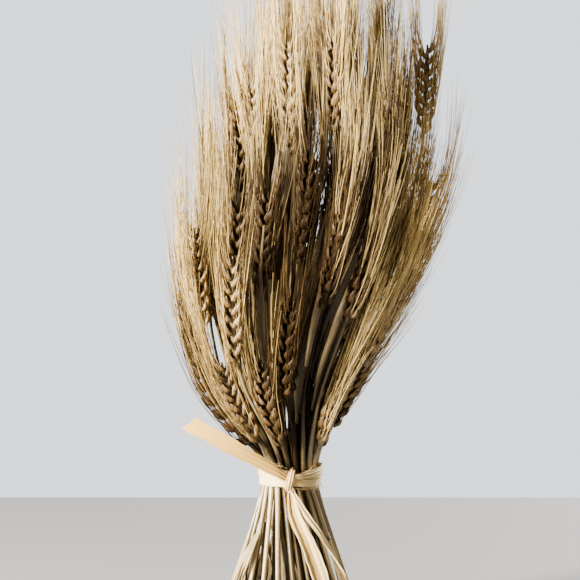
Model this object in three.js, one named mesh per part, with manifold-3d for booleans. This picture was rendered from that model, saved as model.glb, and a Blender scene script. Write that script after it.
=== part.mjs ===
// A standing sheaf of bearded dried wheat, tied at the waist with raffia.
// Millimetres, +Z up. The middle stalk's cut end is the origin, and every stem is cut level at z = 0.
// The front is -Y. "above" is a height measured from the middle of the tie, negative towards the feet.
import * as THREE from "three";
import { mergeVertices } from "three/addons/utils/BufferGeometryUtils.js";
import Module from "manifold-3d";

const wasm = await Module();
wasm.setup();

// Driving dimensions of the sheaf
const TIE_HEIGHT = 107;
const WAIST_RADIUS = 16.2; // outermost stem centres in the tie
const RINGS = [
  { count: 1, radius: 0, start: 0 },
  { count: 6, radius: 4.2, start: 74 },
  { count: 12, radius: 8.2, start: 149 },
  { count: 17, radius: 12.2, start: 223 },
  { count: 22, radius: WAIST_RADIUS, start: -172 },
]; // start is the first stem's direction, in degrees
const FOOT_SLOPE = 0.33; // how fast the outer stems spread below the tie
const FOOT_EASE = 8; // length over which that spread begins
const CROWN_SPREAD = 73; // how far the outer stems spread above the tie
const CROWN_RISE = 114; // height over which they do it
const CROWN_POWER = 1.6;
const CROWN_CROWDING = 0.38; // how much more the inner stems spread than the outer ones
const FOOT_TWIST = 34; // degrees, the turn of the feet about the bundle's axis
const CROWN_TWIST = 24; // degrees, the opposite turn of the heads
const TWIST_EASE = 45;
const LOW_LEAN = { shift: 11, rise: 60 }; // the stems on the -X side lean further out just above the tie
const HIGH_LEAN = { shift: 20, start: 40, rise: 190 }; // and all of them lean to +X further up
const WANDER = { least: 1.5, most: 4.2, rise: 150 }; // each stalk's own drift, once there is room

// Driving dimensions of a stalk
const SIDES = 6;
const FOOT_STEM_RADIUS = 1.95; // straw with its dry sheath
const NECK_STEM_RADIUS = 1; // bare straw under the head
const NECK_RISE = 65;
const PINCH = 8; // the stems run straight through the tie up to this far above and below it
const STEM_LEVELS = [-TIE_HEIGHT, -26, -PINCH, PINCH, 28, 62, 110, 165, 215];
const SHORTEST_STEP = 10;
const HEAD_LENGTH = { shortest: 60, longest: 80 };
const HEAD_PIECES = 11; // spikelets, one row on each side of the head
const FIRST_SPIKELET = 0.4; // its height above the neck of the head, in spikelets
const SPIKELET = { reach: 7.6, notch: 3.4, fullness: 1.3, lift: 5.2, drop: 0.8 };
const SLIMMEST = 0.62; // size of the spikelets at the neck and at the tip of the head
const TIP_RADIUS = 1.4;
const AWN = { shortest: 63, longest: 80, radius: 0.45, lean: 4.8, sway: 4.2, each: 8, tries: 28 };
const CLEARANCE = 0.45; // least gap between an awn and another stalk
const LOW_HEAD = 95; // heads that start lower than this lie outside the stems round them
const LOW_HEAD_PUSH = { left: 7.5, right: 2.5 };

// Height of each head's base above the tie. The outer ring goes round from the left (-X) by the front.
const OUTER_HEADS = [
  62, 20, 95, 24, 78, 22, 52, 112, 102, 19, 69, 96, 30, 128, 225, 26, 150, 66, 205, 44, 130, 100,
];
const INNER_HEADS = [
  { lowest: 238, highest: 238 },
  { lowest: 196, highest: 236 },
  { lowest: 140, highest: 232 },
  { lowest: 80, highest: 180 },
];

// Driving dimensions of the raffia
const TOUCH = 0.35; // gap between things that lie against each other
const BAND = { halfHeight: 5.9, edge: 0.8, bulge: 1.7, slant: 0.9, segments: 22 };
const KNOT = { width: 7, height: 13, depth: 6, drop: 2 };
const STRIP = { thickness: 0.8, steps: 8 };
const TAILS = [
  {
    // wide tail, up to the left
    route: [[0, -24, -1], [-9, -29, 4.5], [-20, -34, 11], [-36, -38, 20.5], [-52, -38, 29], [-64, -35, 35.5]],
    width: [3, 10],
    fold: 0.6,
  },
  {
    // narrow tail, down to the right
    route: [[0.5, -24, -4], [9, -28, -20], [20, -29, -36], [32, -28, -57], [39, -29, -72], [42, -32, -86]],
    width: [2.6, 4.6],
    fold: 0.5,
  },
  {
    // wide folded tail, down the front
    route: [[-0.5, -24, -4], [1.5, -30, -20], [11.5, -35, -42], [21, -42, -68], [27, -47, -92]],
    width: [3, 10.5],
    fold: 1.8,
  },
];

// A dry leaf that still hangs from one of the outer stalks
const LEAF = { stalk: 37, above: -34, length: 36, slope: 0.62, sag: 4.3, width: [3, 9], fold: 1.2, steps: 6 };

const GOLDEN = 0.6180339887;
const SECOND_STEP = 0.7548776662;

// Even, unrepeating numbers from 0 to 1, the same on every run
const spreadOut = (index, salt) => ((index + 1) * GOLDEN * (1 + salt * SECOND_STEP)) % 1;
const radians = THREE.MathUtils.degToRad;
const ease = (x) => THREE.MathUtils.smoothstep(x, 0, 1);
const { lerp } = THREE.MathUtils;

// Radius of the outermost stem centres at a height above or below the tie
function laneRadius(above) {
  if (above < 0) {
    const drop = Math.hypot(above, FOOT_EASE) - FOOT_EASE;
    return WAIST_RADIUS + FOOT_SLOPE * drop;
  }
  return WAIST_RADIUS + CROWN_SPREAD * (1 - Math.exp(-((above / CROWN_RISE) ** CROWN_POWER)));
}

function laneTurn(above) {
  const twist = above < 0 ? FOOT_TWIST : CROWN_TWIST;
  return (-radians(twist) * above) / (Math.abs(above) + TWIST_EASE);
}

// One stalk's place in the sheaf: where its centre lies at any height
class Lane {
  constructor(index, ring, azimuth, headBase) {
    this.index = index;
    this.share = RINGS[ring].radius / WAIST_RADIUS;
    this.azimuth = azimuth;
    this.headBase = headBase;
    const heading = 2 * Math.PI * spreadOut(index, 3);
    const wander = lerp(WANDER.least, WANDER.most, spreadOut(index, 4));
    this.wander = new THREE.Vector2(Math.cos(heading), Math.sin(heading)).multiplyScalar(wander);
    const isPushed = ring === RINGS.length - 1 && headBase < LOW_HEAD;
    this.push = isPushed ? lerp(LOW_HEAD_PUSH.left, LOW_HEAD_PUSH.right, 0.5 + 0.5 * Math.cos(azimuth)) : 0;
    this.headLength = lerp(HEAD_LENGTH.shortest, HEAD_LENGTH.longest, spreadOut(index, 2));
    this.headTop = this.climb(headBase, this.headLength);
  }

  at(above) {
    const rise = Math.max(above, 0);
    const crowding = 1 - CROWN_CROWDING * ease(rise / CROWN_RISE / 2);
    const outward = this.push * ease((rise - PINCH) / this.headBase);
    const settle = 1 - 0.5 * ease((rise - this.headBase) / this.headLength);
    const radius = laneRadius(above) * this.share ** crowding + outward * settle;
    const turn = this.azimuth + laneTurn(above);
    const over = ease((rise - HIGH_LEAN.start) / HIGH_LEAN.rise);
    const leftness = this.share * (0.5 - 0.5 * Math.cos(turn));
    const back = leftness * ease((rise - PINCH) / LOW_LEAN.rise) * (1 - over);
    const roam = ease(rise / WANDER.rise);
    return new THREE.Vector3(
      radius * Math.cos(turn) + HIGH_LEAN.shift * over - LOW_LEAN.shift * back + roam * this.wander.x,
      radius * Math.sin(turn) + roam * this.wander.y,
      TIE_HEIGHT + above,
    );
  }

  // The height reached after going a distance up the stalk
  climb(above, distance) {
    let here = this.at(above);
    let gone = 0;
    while (gone < distance) {
      above += 1;
      const next = this.at(above);
      gone += next.distanceTo(here);
      here = next;
    }
    return above;
  }

  // Axes at a height: along the stalk, across the two rows of its head, and out of their plane
  frame(above) {
    const along = this.at(above + 1).sub(this.at(above - 1)).normalize();
    const roll = 2 * Math.PI * spreadOut(this.index, 5);
    const level = new THREE.Vector3(Math.cos(roll), Math.sin(roll), 0);
    const out = new THREE.Vector3().crossVectors(along, level).normalize();
    const across = new THREE.Vector3().crossVectors(out, along);
    return { at: this.at(above), along, across, out };
  }
}

function headBaseOf(ring, place) {
  if (ring === RINGS.length - 1) return OUTER_HEADS[place];
  const { lowest, highest } = INNER_HEADS[ring];
  return lerp(lowest, highest, spreadOut(place, 14));
}

function layLanes() {
  const lanes = [];
  RINGS.forEach(({ count, start }, ring) => {
    for (let place = 0; place < count; place++) {
      const azimuth = radians(start + (360 * place) / count);
      lanes.push(new Lane(lanes.length, ring, azimuth, headBaseOf(ring, place)));
    }
  });
  return lanes;
}

// Moves every vertex of a geometry by a function of its position, and closes its seams
function reshaped(geometry, move) {
  const position = geometry.attributes.position;
  const vertex = new THREE.Vector3();
  for (let i = 0; i < position.count; i++) {
    vertex.fromBufferAttribute(position, i);
    move(vertex);
    position.setXYZ(i, vertex.x, vertex.y, vertex.z);
  }
  geometry.deleteAttribute("normal");
  geometry.deleteAttribute("uv");
  return mergeVertices(geometry, 1e-4);
}

function solidOf(geometry) {
  return new wasm.Manifold(
    new wasm.Mesh({
      numProp: 3,
      vertProperties: geometry.attributes.position.array,
      triVerts: new Uint32Array(geometry.index.array),
    }),
  );
}

function joined(geometries) {
  const mesh = wasm.Manifold.union(geometries.map(solidOf)).getMesh();
  const geometry = new THREE.BufferGeometry();
  geometry.setAttribute("position", new THREE.BufferAttribute(mesh.vertProperties, 3));
  geometry.setIndex(new THREE.BufferAttribute(mesh.triVerts, 1));
  return geometry;
}

// Height along the stalk of one spikelet's root
function spikeletHeight(lane, piece) {
  return lerp(lane.headBase, lane.headTop, (piece + FIRST_SPIKELET) / (HEAD_PIECES + 1));
}

// Spikelets are slimmer at the neck of the head and at its tip, and fullest a little below its middle
function spikeletSize(piece) {
  const share = ((piece + 0.5) / HEAD_PIECES) ** 0.8;
  return lerp(SLIMMEST, 1, Math.sin(Math.PI * share));
}

// How far the head reaches out from its middle, from 0 over the notch to 1 over the spikelet
function spikeletReach(piece, toSpikelet) {
  return spikeletSize(piece) * lerp(SPIKELET.notch, SPIKELET.reach, toSpikelet ** SPIKELET.fullness);
}

const sideOf = (piece) => (piece % 2 ? 1 : -1);

// A corner of the straw at a height, at (x, z) on the unit circle
function strawPoint(lane, above, x, z) {
  const { at, along, across, out } = lane.frame(above);
  const radius = lerp(FOOT_STEM_RADIUS, NECK_STEM_RADIUS, ease(above / NECK_RISE));
  const point = at.addScaledVector(across, x * radius).addScaledVector(out, -z * radius);
  const foot = above === -TIE_HEIGHT;
  return foot ? point.addScaledVector(along, -point.z / along.z) : point;
}

// A corner of the head: the spikelet on one side reaches out and up over the notch of the next
function headPoint(lane, piece, x, z) {
  if (piece === HEAD_PIECES) return tipPoint(lane, x, z);
  const { at, along, across, out } = lane.frame(spikeletHeight(lane, piece));
  const toSpikelet = (1 + x * sideOf(piece)) / 2;
  const radius = spikeletReach(piece, toSpikelet);
  return at
    .addScaledVector(across, x * radius)
    .addScaledVector(out, -z * radius)
    .addScaledVector(along, lerp(-SPIKELET.drop, SPIKELET.lift, toSpikelet ** 2));
}

function tipPoint(lane, x, z) {
  const { at, across, out } = lane.frame(lane.headTop);
  return at.addScaledVector(across, x * TIP_RADIUS).addScaledVector(out, -z * TIP_RADIUS);
}

// One stalk in a single skin: the straw from its level cut, then the head with its two rows of
// spikelets, to the left and to the right in turn
function stalkSkin(lane) {
  const levels = STEM_LEVELS.filter((level) => level < lane.headBase - SHORTEST_STEP);
  levels.push(lane.headBase);
  const steps = levels.length + HEAD_PIECES;
  const skin = new THREE.CylinderGeometry(1, 1, steps, SIDES, steps, false, Math.PI / 2);
  return reshaped(skin, (v) => {
    const step = Math.round(v.y + steps / 2);
    const { x, z } = v;
    if (step < levels.length) v.copy(strawPoint(lane, levels[step], x, z));
    else v.copy(headPoint(lane, step - levels.length, x, z));
  });
}

// Shortest distance between two straight pieces
function gapBetween(p, q, r, s) {
  const d1 = q.clone().sub(p);
  const d2 = s.clone().sub(r);
  const w = p.clone().sub(r);
  const a = d1.dot(d1);
  const b = d1.dot(d2);
  const c = d1.dot(w);
  const e = d2.dot(d2);
  const f = d2.dot(w);
  const spread = a * e - b * b;
  let u = spread > 1e-9 ? THREE.MathUtils.clamp((b * f - c * e) / spread, 0, 1) : 0;
  const v = THREE.MathUtils.clamp((b * u + f) / e, 0, 1);
  u = THREE.MathUtils.clamp((b * v - c) / a, 0, 1);
  return p.clone().addScaledVector(d1, u).distanceTo(r.clone().addScaledVector(d2, v));
}

// What an awn has to stay clear of: every straw and head as a row of rounded straight pieces
function obstaclesOf(lanes) {
  const headRadius = (SPIKELET.reach + spikeletReach(0, 0.5)) / 2;
  const obstacles = [];
  for (const lane of lanes) {
    const straw = STEM_LEVELS.filter((level) => level > 0 && level < lane.headBase);
    const head = [0, 0.25, 0.5, 0.75, 1].map((share) => lerp(lane.headBase, lane.headTop, share));
    const stops = [...straw, ...head];
    for (let i = 1; i < stops.length; i++) {
      const radius = i <= straw.length ? FOOT_STEM_RADIUS : headRadius;
      obstacles.push({ lane, from: lane.at(stops[i - 1]), to: lane.at(stops[i]), radius });
    }
  }
  return obstacles;
}

function isClear(from, to, lane, obstacles) {
  return obstacles.every((other) => {
    if (other.lane === lane && !other.isAwn) return true;
    return gapBetween(from, to, other.from, other.to) > other.radius + AWN.radius + CLEARANCE;
  });
}

// Where the awn of a spikelet ends. It is turned until it clears its own head and its neighbours,
// and left out where the crown is too crowded.
function awnTip(lane, piece, root, obstacles) {
  const place = lane.index * HEAD_PIECES + piece;
  const length = lerp(AWN.shortest, AWN.longest, spreadOut(place, 6));
  const beyond = lane.frame(lane.climb(spikeletHeight(lane, piece), length));
  for (let turn = 0; turn < AWN.tries; turn++) {
    const wider = 1 + turn / AWN.tries;
    const lean = radians(AWN.lean) * wider * lerp(1, 1.6, spreadOut(piece + turn, 8));
    const sway = radians(AWN.sway) * wider * lerp(-1, 1, spreadOut(place + turn, 7));
    const aside = spikeletReach(piece, 1) + length * Math.tan(lean);
    const tip = beyond.at
      .clone()
      .addScaledVector(beyond.across, sideOf(piece) * aside)
      .addScaledVector(beyond.out, length * Math.tan(sway));
    if (clearsOwnHead(lane, piece, root, tip) && isClear(root, tip, lane, obstacles)) return tip;
  }
  return null;
}

function clearsOwnHead(lane, piece, root, tip) {
  for (let next = piece + 1; next < HEAD_PIECES; next++) {
    const { at, along, across } = lane.frame(spikeletHeight(lane, next) + SPIKELET.lift);
    const share = at.clone().sub(root).dot(along) / tip.clone().sub(root).dot(along);
    const aside = root.clone().lerp(tip, share).sub(at);
    const toSpikelet = (1 + (sideOf(next) * aside.dot(across)) / aside.length()) / 2;
    if (aside.length() < spikeletReach(next, toSpikelet) + 2 * AWN.radius) return false;
  }
  return true;
}

// Draws a corner of a skin out into a three-sided needle. The corner itself becomes the needle's
// point, and a collar of three new corners round its old place carries the faces that met there.
function drawOut(skin, corner, tip) {
  const positions = Array.from(skin.attributes.position.array);
  const index = Array.from(skin.index.array);
  const fan = new Map();
  for (let i = 0; i < index.length; i += 3) {
    const turn = index.slice(i, i + 3).indexOf(corner);
    if (turn >= 0) fan.set(index[i + ((turn + 1) % 3)], { next: index[i + ((turn + 2) % 3)], at: i + turn });
  }
  const root = new THREE.Vector3().fromArray(positions, 3 * corner);
  const direction = tip.clone().sub(root).normalize();
  let [rim] = fan.keys();
  const aside = new THREE.Vector3().fromArray(positions, 3 * rim).sub(root);
  aside.addScaledVector(direction, -aside.dot(direction)).setLength(AWN.radius);
  const collar = [0, 1, 2].map((k) => positions.length / 3 + k);
  for (let k = 0; k < collar.length; k++) {
    aside.clone().add(root).toArray(positions, positions.length);
    aside.applyAxisAngle(direction, (2 * Math.PI) / collar.length);
  }
  const share = fan.size / collar.length;
  for (let i = 0; i < fan.size; i++) {
    const { next, at } = fan.get(rim);
    const mine = Math.floor(i / share);
    const after = Math.floor((i + 1) / share) % collar.length;
    index[at] = collar[mine];
    if (after !== mine) index.push(collar[mine], next, collar[after], collar[mine], collar[after], corner);
    rim = next;
  }
  tip.toArray(positions, 3 * corner);
  skin.setAttribute("position", new THREE.Float32BufferAttribute(positions, 3));
  skin.setIndex(index);
}

function cornerNearest(skin, point) {
  const position = skin.attributes.position;
  const here = new THREE.Vector3();
  let nearest = 0;
  let least = Infinity;
  for (let i = 0; i < position.count; i++) {
    const gap = here.fromBufferAttribute(position, i).distanceTo(point);
    if (gap < least) [nearest, least] = [i, gap];
  }
  return nearest;
}

function growAwns(skin, lane, obstacles) {
  for (let n = 0; n < AWN.each; n++) {
    const piece = Math.round(lerp(0, HEAD_PIECES - 1, n / (AWN.each - 1)));
    const root = headPoint(lane, piece, sideOf(piece), 0);
    const tip = awnTip(lane, piece, root, obstacles);
    if (!tip) continue;
    obstacles.push({ lane, from: root, to: tip, radius: AWN.radius, isAwn: true });
    drawOut(skin, cornerNearest(skin, root), tip);
  }
}

// A flat strip along a curve, folded along its middle. Its face looks away from the bundle's axis.
function stripSkin(curve, widths, fold, steps) {
  return reshaped(new THREE.BoxGeometry(2, steps, 1, 2, steps, 1), (v) => {
    const share = v.y / steps + 0.5;
    const centre = curve.getPoint(share);
    const along = curve.getTangent(share);
    const outward = new THREE.Vector3(centre.x, centre.y, 0);
    const aside = new THREE.Vector3().crossVectors(along, outward).normalize();
    const face = new THREE.Vector3().crossVectors(aside, along);
    const width = lerp(widths[0], widths[1], ease(share * 1.6));
    const ridge = fold * ease(share * 2) * (1 - Math.abs(v.x));
    const { x, z } = v;
    v.copy(centre)
      .addScaledVector(aside, (x * width) / 2)
      .addScaledVector(face, z * STRIP.thickness + ridge);
  });
}

const bandInside = (laneRadius(PINCH) + FOOT_STEM_RADIUS + TOUCH) / Math.cos(Math.PI / BAND.segments);

// The strips wound round the waist
function bandSkin() {
  const { halfHeight, edge, bulge, slant, segments } = BAND;
  const profile = [-1, -0.55, 0, 0.55, 1].map((share) => {
    const thickness = share % 1 ? bulge : edge;
    return new THREE.Vector2(bandInside + thickness, share * halfHeight);
  });
  profile.push(new THREE.Vector2(bandInside, halfHeight), new THREE.Vector2(bandInside, -halfHeight));
  profile.push(profile[0]);
  return reshaped(new THREE.LatheGeometry(profile, segments), (v) => {
    const wave = slant * Math.sin(3 * Math.atan2(v.z, v.x)) * Math.abs(v.y / halfHeight);
    v.set(v.x, -v.z, TIE_HEIGHT + v.y - wave);
  });
}

// The knot sits on the band and doesn't reach through it
function knotSkin() {
  const { width, height, depth, drop } = KNOT;
  const middle = bandInside + TOUCH + depth / 2;
  return reshaped(new THREE.SphereGeometry(1, 7, 5), (v) => {
    const pinch = 0.75 + 0.25 * Math.abs(v.y);
    const { x, y, z } = v;
    v.set((x * width * pinch) / 2, -middle - (z * depth) / 2, TIE_HEIGHT - drop + (y * height) / 2);
  });
}

function raffiaTie() {
  const tails = TAILS.map(({ route, width, fold }) => {
    const points = route.map(([x, y, above]) => new THREE.Vector3(x, y, TIE_HEIGHT + above));
    return stripSkin(new THREE.CatmullRomCurve3(points), width, fold, STRIP.steps);
  });
  return joined([bandSkin(), knotSkin(), ...tails]);
}

function leafSkin(lane) {
  const root = lane.at(LEAF.above);
  const outward = new THREE.Vector3(root.x, root.y, 0).normalize();
  const points = [0, 0.35, 0.7, 1].map((share) => {
    const away = LEAF.length * LEAF.slope * share + LEAF.sag * share * (1 - share);
    return root.clone().addScaledVector(outward, away).setZ(root.z - LEAF.length * share);
  });
  return stripSkin(new THREE.CatmullRomCurve3(points), LEAF.width, LEAF.fold, LEAF.steps);
}

const straw = { color: 0xc9a566, roughness: 0.6, metalness: 0 };
const raffia = { color: 0xe6cfa4, roughness: 0.5, metalness: 0 };
const sheaf = new THREE.Group();

function addPiece(name, geometry, look) {
  const piece = new THREE.Mesh(geometry, new THREE.MeshStandardMaterial(look));
  piece.name = name;
  sheaf.add(piece);
}

const lanes = layLanes();
const obstacles = obstaclesOf(lanes);
lanes.forEach((lane, index) => {
  const skin = stalkSkin(lane);
  growAwns(skin, lane, obstacles);
  const name = `stalk_${String(index + 1).padStart(2, "0")}`;
  addPiece(name, index === LEAF.stalk ? joined([skin, leafSkin(lane)]) : skin, straw);
});
addPiece("raffia_tie", raffiaTie(), raffia);

export default sheaf;
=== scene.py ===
"""A standing sheaf of bearded dried wheat, tied at the waist with raffia.

Sizes are in millimetres, as in the part's own source, and every mesh is made in metres. +Z is up, the
front is -Y, and "above" is a height measured from the middle of the tie, negative towards the feet.
"""

import logging
import math
from dataclasses import dataclass, field, replace
from enum import Enum

import bpy
import numpy as np
from bpy.types import Material, Mesh, Node, NodeSocket, NodeTree, Object
from mathutils import Matrix, Vector


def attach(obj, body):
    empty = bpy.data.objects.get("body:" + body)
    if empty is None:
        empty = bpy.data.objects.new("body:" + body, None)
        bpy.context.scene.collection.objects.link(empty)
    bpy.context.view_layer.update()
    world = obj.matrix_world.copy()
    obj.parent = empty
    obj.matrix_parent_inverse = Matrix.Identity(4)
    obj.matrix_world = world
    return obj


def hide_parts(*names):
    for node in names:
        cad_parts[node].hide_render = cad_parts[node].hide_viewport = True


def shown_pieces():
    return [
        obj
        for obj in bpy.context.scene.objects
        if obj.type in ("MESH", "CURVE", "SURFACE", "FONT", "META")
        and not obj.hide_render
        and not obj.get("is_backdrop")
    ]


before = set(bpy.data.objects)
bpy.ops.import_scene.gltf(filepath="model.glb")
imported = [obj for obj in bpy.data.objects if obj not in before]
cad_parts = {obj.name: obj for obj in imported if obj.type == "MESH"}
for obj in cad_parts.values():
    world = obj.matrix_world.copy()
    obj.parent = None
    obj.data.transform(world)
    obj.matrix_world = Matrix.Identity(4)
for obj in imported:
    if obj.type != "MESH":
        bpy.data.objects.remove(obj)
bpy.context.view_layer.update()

LOG = logging.getLogger("sheaf")
MM = 0.001
GOLDEN = 0.6180339887
SECOND_STEP = 0.7548776662
TIE_HEIGHT = 107.0
BODY = "root"
#: The lowest tint, of the deepest painted shade, which a few pieces also reach by their own darker tone.
DEEPEST_SHADE_TINT = -0.6
#: How far the fibres' seed moves on from one tint to the next.
SEED_STEP = 37.0
#: Awns and loose fibres: their sides, the share of their thickness that they lose towards the tip, and the
#: length of their grain in metres.
TUBE_SIDES = 3
TUBE_TAPER = 0.72
TUBE_GRAIN = 0.07

Colour = tuple[float, float, float]
Span = tuple[float, float]
Values = tuple[float, ...]


class Slot(Enum):
    """The record's material slots."""

    STRAW = "straw"
    RAFFIA = "raffia"


class Husk(Enum):
    """The scales that make up a spikelet."""

    GLUME = 0
    LEMMA = 1


# Small helpers


def spread_out(index: int, salt: float) -> float:
    """Even, unrepeating numbers from 0 to 1, the same on every run."""
    return ((index + 1) * GOLDEN * (1 + salt * SECOND_STEP)) % 1.0


def ease(x: np.ndarray | float) -> np.ndarray | float:
    """A smooth step from 0 to 1."""
    x = np.clip(x, 0.0, 1.0)
    return x * x * (3 - 2 * x)


def ramp(x: np.ndarray | float, start: float, length: float) -> np.ndarray | float:
    """A smooth step from 0 at a start to 1 a length further on."""
    return ease((x - start) / length)


def hump(x: np.ndarray, middle: float, half_width: float) -> np.ndarray:
    """A smooth hump of height 1."""
    return np.exp(-(((x - middle) / half_width) ** 2))


def lerp(a: float, b: float, share: np.ndarray | float) -> np.ndarray | float:
    """The value a share of the way from a to b."""
    return a + (b - a) * share


def unit(vectors: np.ndarray) -> np.ndarray:
    """Rows of vectors, each at length one."""
    return vectors / np.linalg.norm(vectors, axis=-1, keepdims=True)


def smooth_route(points: np.ndarray, count: int) -> np.ndarray:
    """A centripetal Catmull-Rom line through points, as the part's source draws its strips.

    Args:
        points: the route's points, one a row.
        count: how many points to return.

    Returns:
        Points along the whole line, evenly shared out.
    """
    ends = np.array([2 * points[0] - points[1], *points, 2 * points[-1] - points[-2]])
    spans = len(points) - 1
    line = []
    for share in np.linspace(0, spans, count):
        first = min(int(share), spans - 1)
        near = ends[first : first + 4]
        gaps = np.maximum(np.linalg.norm(np.diff(near, axis=0), axis=1) ** 0.5, 1e-6)
        knots = np.concatenate([[0.0], np.cumsum(gaps)])
        t = lerp(knots[1], knots[2], share - first)
        for pairs in (((0, 1), (1, 2), (2, 3)), ((0, 2), (1, 3)), ((1, 2),)):
            near = [
                (near[k] * (knots[q] - t) + near[k + 1] * (t - knots[p])) / (knots[q] - knots[p])
                for k, (p, q) in enumerate(pairs)
            ]
        line.append(near[0])
    return np.array(line)


@dataclass
class Skin:
    """Vertices and faces in millimetres, with a few values on each vertex.

    Attributes:
        points: one vertex a row.
        faces: lists of vertex numbers, anticlockwise from outside.
        grain: position along and round the piece as if it lay straight, for patterns that follow it.
        reach: from 0 at a piece's root to 1 at its tip.
        tint: how pale it is, painted light and shade included, from DEEPEST_SHADE_TINT to 1.
    """

    points: np.ndarray
    faces: list[list[int]]
    grain: np.ndarray
    reach: np.ndarray
    tint: np.ndarray

    def mesh(self, name: str) -> Mesh:
        """Makes the skin a smooth mesh in metres.

        Args:
            name: the mesh's name.

        Returns:
            The mesh, with the values as its attributes.
        """
        made = bpy.data.meshes.new(name)
        made.from_pydata((self.points * MM).tolist(), [], self.faces, shade_flat=False)
        put_values(made, "reach", "FLOAT", self.reach)
        put_values(made, "tint", "FLOAT", self.tint)
        put_values(made, "grain", "FLOAT_VECTOR", self.grain * MM)
        return made


def put_values(mesh: Mesh, name: str, kind: str, values: np.ndarray | list) -> None:
    """Stores values on a mesh's vertices.

    Args:
        mesh: the mesh that gets them.
        name: the attribute's name.
        kind: its data type, in Blender's words.
        values: one row for each vertex.
    """
    attribute = mesh.attributes.new(name, kind, "POINT")
    target = "vector" if kind == "FLOAT_VECTOR" else "value"
    number = np.int32 if kind == "INT" else np.float32
    attribute.data.foreach_set(target, np.ascontiguousarray(values, number).ravel())


def lofted(rings: np.ndarray) -> list[list[int]]:
    """Faces of a closed skin over rings, whose points turn anticlockwise about the way that they run.

    Args:
        rings: an array of rows by points by 3.

    Returns:
        The faces, as lists of vertex numbers.
    """
    numbers = np.arange(rings.shape[0] * rings.shape[1]).reshape(rings.shape[:2])
    turned = np.roll(numbers, -1, axis=1)
    sides = np.stack([numbers[:-1], turned[:-1], turned[1:], numbers[1:]], axis=-1).reshape(-1, 4)
    return [*sides.tolist(), numbers[0, ::-1].tolist(), numbers[-1].tolist()]


def joined(skins: list[Skin]) -> Skin:
    """Joins several skins.

    Args:
        skins: the skins.

    Returns:
        All of them as one.
    """
    starts = np.cumsum([0] + [len(skin.points) for skin in skins])
    faces = [[start + k for k in face] for start, skin in zip(starts, skins) for face in skin.faces]
    names = ("points", "grain", "reach", "tint")
    values = {name: np.concatenate([getattr(skin, name) for skin in skins]) for name in names}
    return Skin(faces=faces, **values)


class Graph:
    """Adds nodes to a tree with their values and links."""

    def __init__(self, tree: NodeTree) -> None:
        """Takes the tree that it adds to."""
        self.tree = tree

    def fill(self, node: Node, values: dict[str | int, object]) -> Node:
        """Sets or links a node's inputs.

        Args:
            node: the node.
            values: what each input gets, by name or number: a value, or a socket that it is linked to.

        Returns:
            The node.
        """
        for key, value in values.items():
            if isinstance(value, NodeSocket):
                self.tree.links.new(value, node.inputs[key])
            else:
                node.inputs[key].default_value = value
        return node

    def add(self, kind: str, values: dict | None = None, **settings: object) -> Node:
        """Adds one node.

        Args:
            kind: the node's type.
            values: what its inputs get, as in fill.
            **settings: the node's own properties.

        Returns:
            The new node.
        """
        node = self.tree.nodes.new(kind)
        for name, value in settings.items():
            setattr(node, name, value)
        return self.fill(node, values or {})

    def get(self, kind: str, values: dict | None = None, **settings: object) -> NodeSocket:
        """The first output of a new node."""
        return self.add(kind, values, **settings).outputs[0]

    def math(self, operation: str, a: object, b: object) -> NodeSocket:
        """The result of a sum on two numbers."""
        return self.get("ShaderNodeMath", {0: a, 1: b}, operation=operation)

    def mix(self, share: object, a: object, b: object) -> NodeSocket:
        """A colour between two."""
        a, b = ((*colour, 1.0) if isinstance(colour, tuple) else colour for colour in (a, b))
        return self.add("ShaderNodeMix", {0: share, 6: a, 7: b}, data_type="RGBA").outputs[2]

    def spread(self, value: object, low: object, high: object, to_low: float, to_high: float) -> NodeSocket:
        """A value carried from one range to another."""
        return self.get("ShaderNodeMapRange", {0: value, 1: low, 2: high, 3: to_low, 4: to_high})

    def attribute(self, name: str, kind: str) -> NodeSocket:
        """A value that each point of a mesh carries."""
        return self.get("GeometryNodeInputNamedAttribute", {"Name": name}, data_type=kind)

    def mesh_of(self, thing: NodeSocket) -> NodeSocket:
        """The mesh of an object."""
        return self.add("GeometryNodeObjectInfo", {"Object": thing}).outputs["Geometry"]

    def dressed(self, geometry: NodeSocket, finish: NodeSocket) -> NodeSocket:
        """Geometry with a finish on it."""
        return self.get("GeometryNodeSetMaterial", {"Geometry": geometry, "Material": finish})

    def joined(self, pieces: list[NodeSocket]) -> NodeSocket:
        """Joins geometry.

        Args:
            pieces: the pieces.

        Returns:
            All of it.
        """
        join = self.add("GeometryNodeJoinGeometry")
        for piece in pieces:
            self.tree.links.new(piece, join.inputs[0])
        return join.outputs[0]

    def tubes(self, lines: NodeSocket, sides: NodeSocket, finish: NodeSocket) -> NodeSocket:
        """Turns loose lines into closed tubes as thick as their own attribute says.

        Args:
            lines: a mesh of edges.
            sides: how many sides a tube has.
            finish: the tubes' material.

        Returns:
            The tubes.
        """
        curves = self.get("GeometryNodeMeshToCurve", {"Mesh": lines})
        outline = self.get("GeometryNodeCurvePrimitiveCircle", {"Resolution": sides, "Radius": 1.0})
        thickness = self.attribute("thickness", "FLOAT")
        drawn = {"Curve": curves, "Profile Curve": outline, "Scale": thickness, "Fill Caps": True}
        made = self.get("GeometryNodeCurveToMesh", drawn)
        made = self.get("GeometryNodeSetShadeSmooth", {"Geometry": made, "Shade Smooth": True})
        return self.dressed(self.get("GeometryNodeRealizeInstances", {0: made}), finish)


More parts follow.
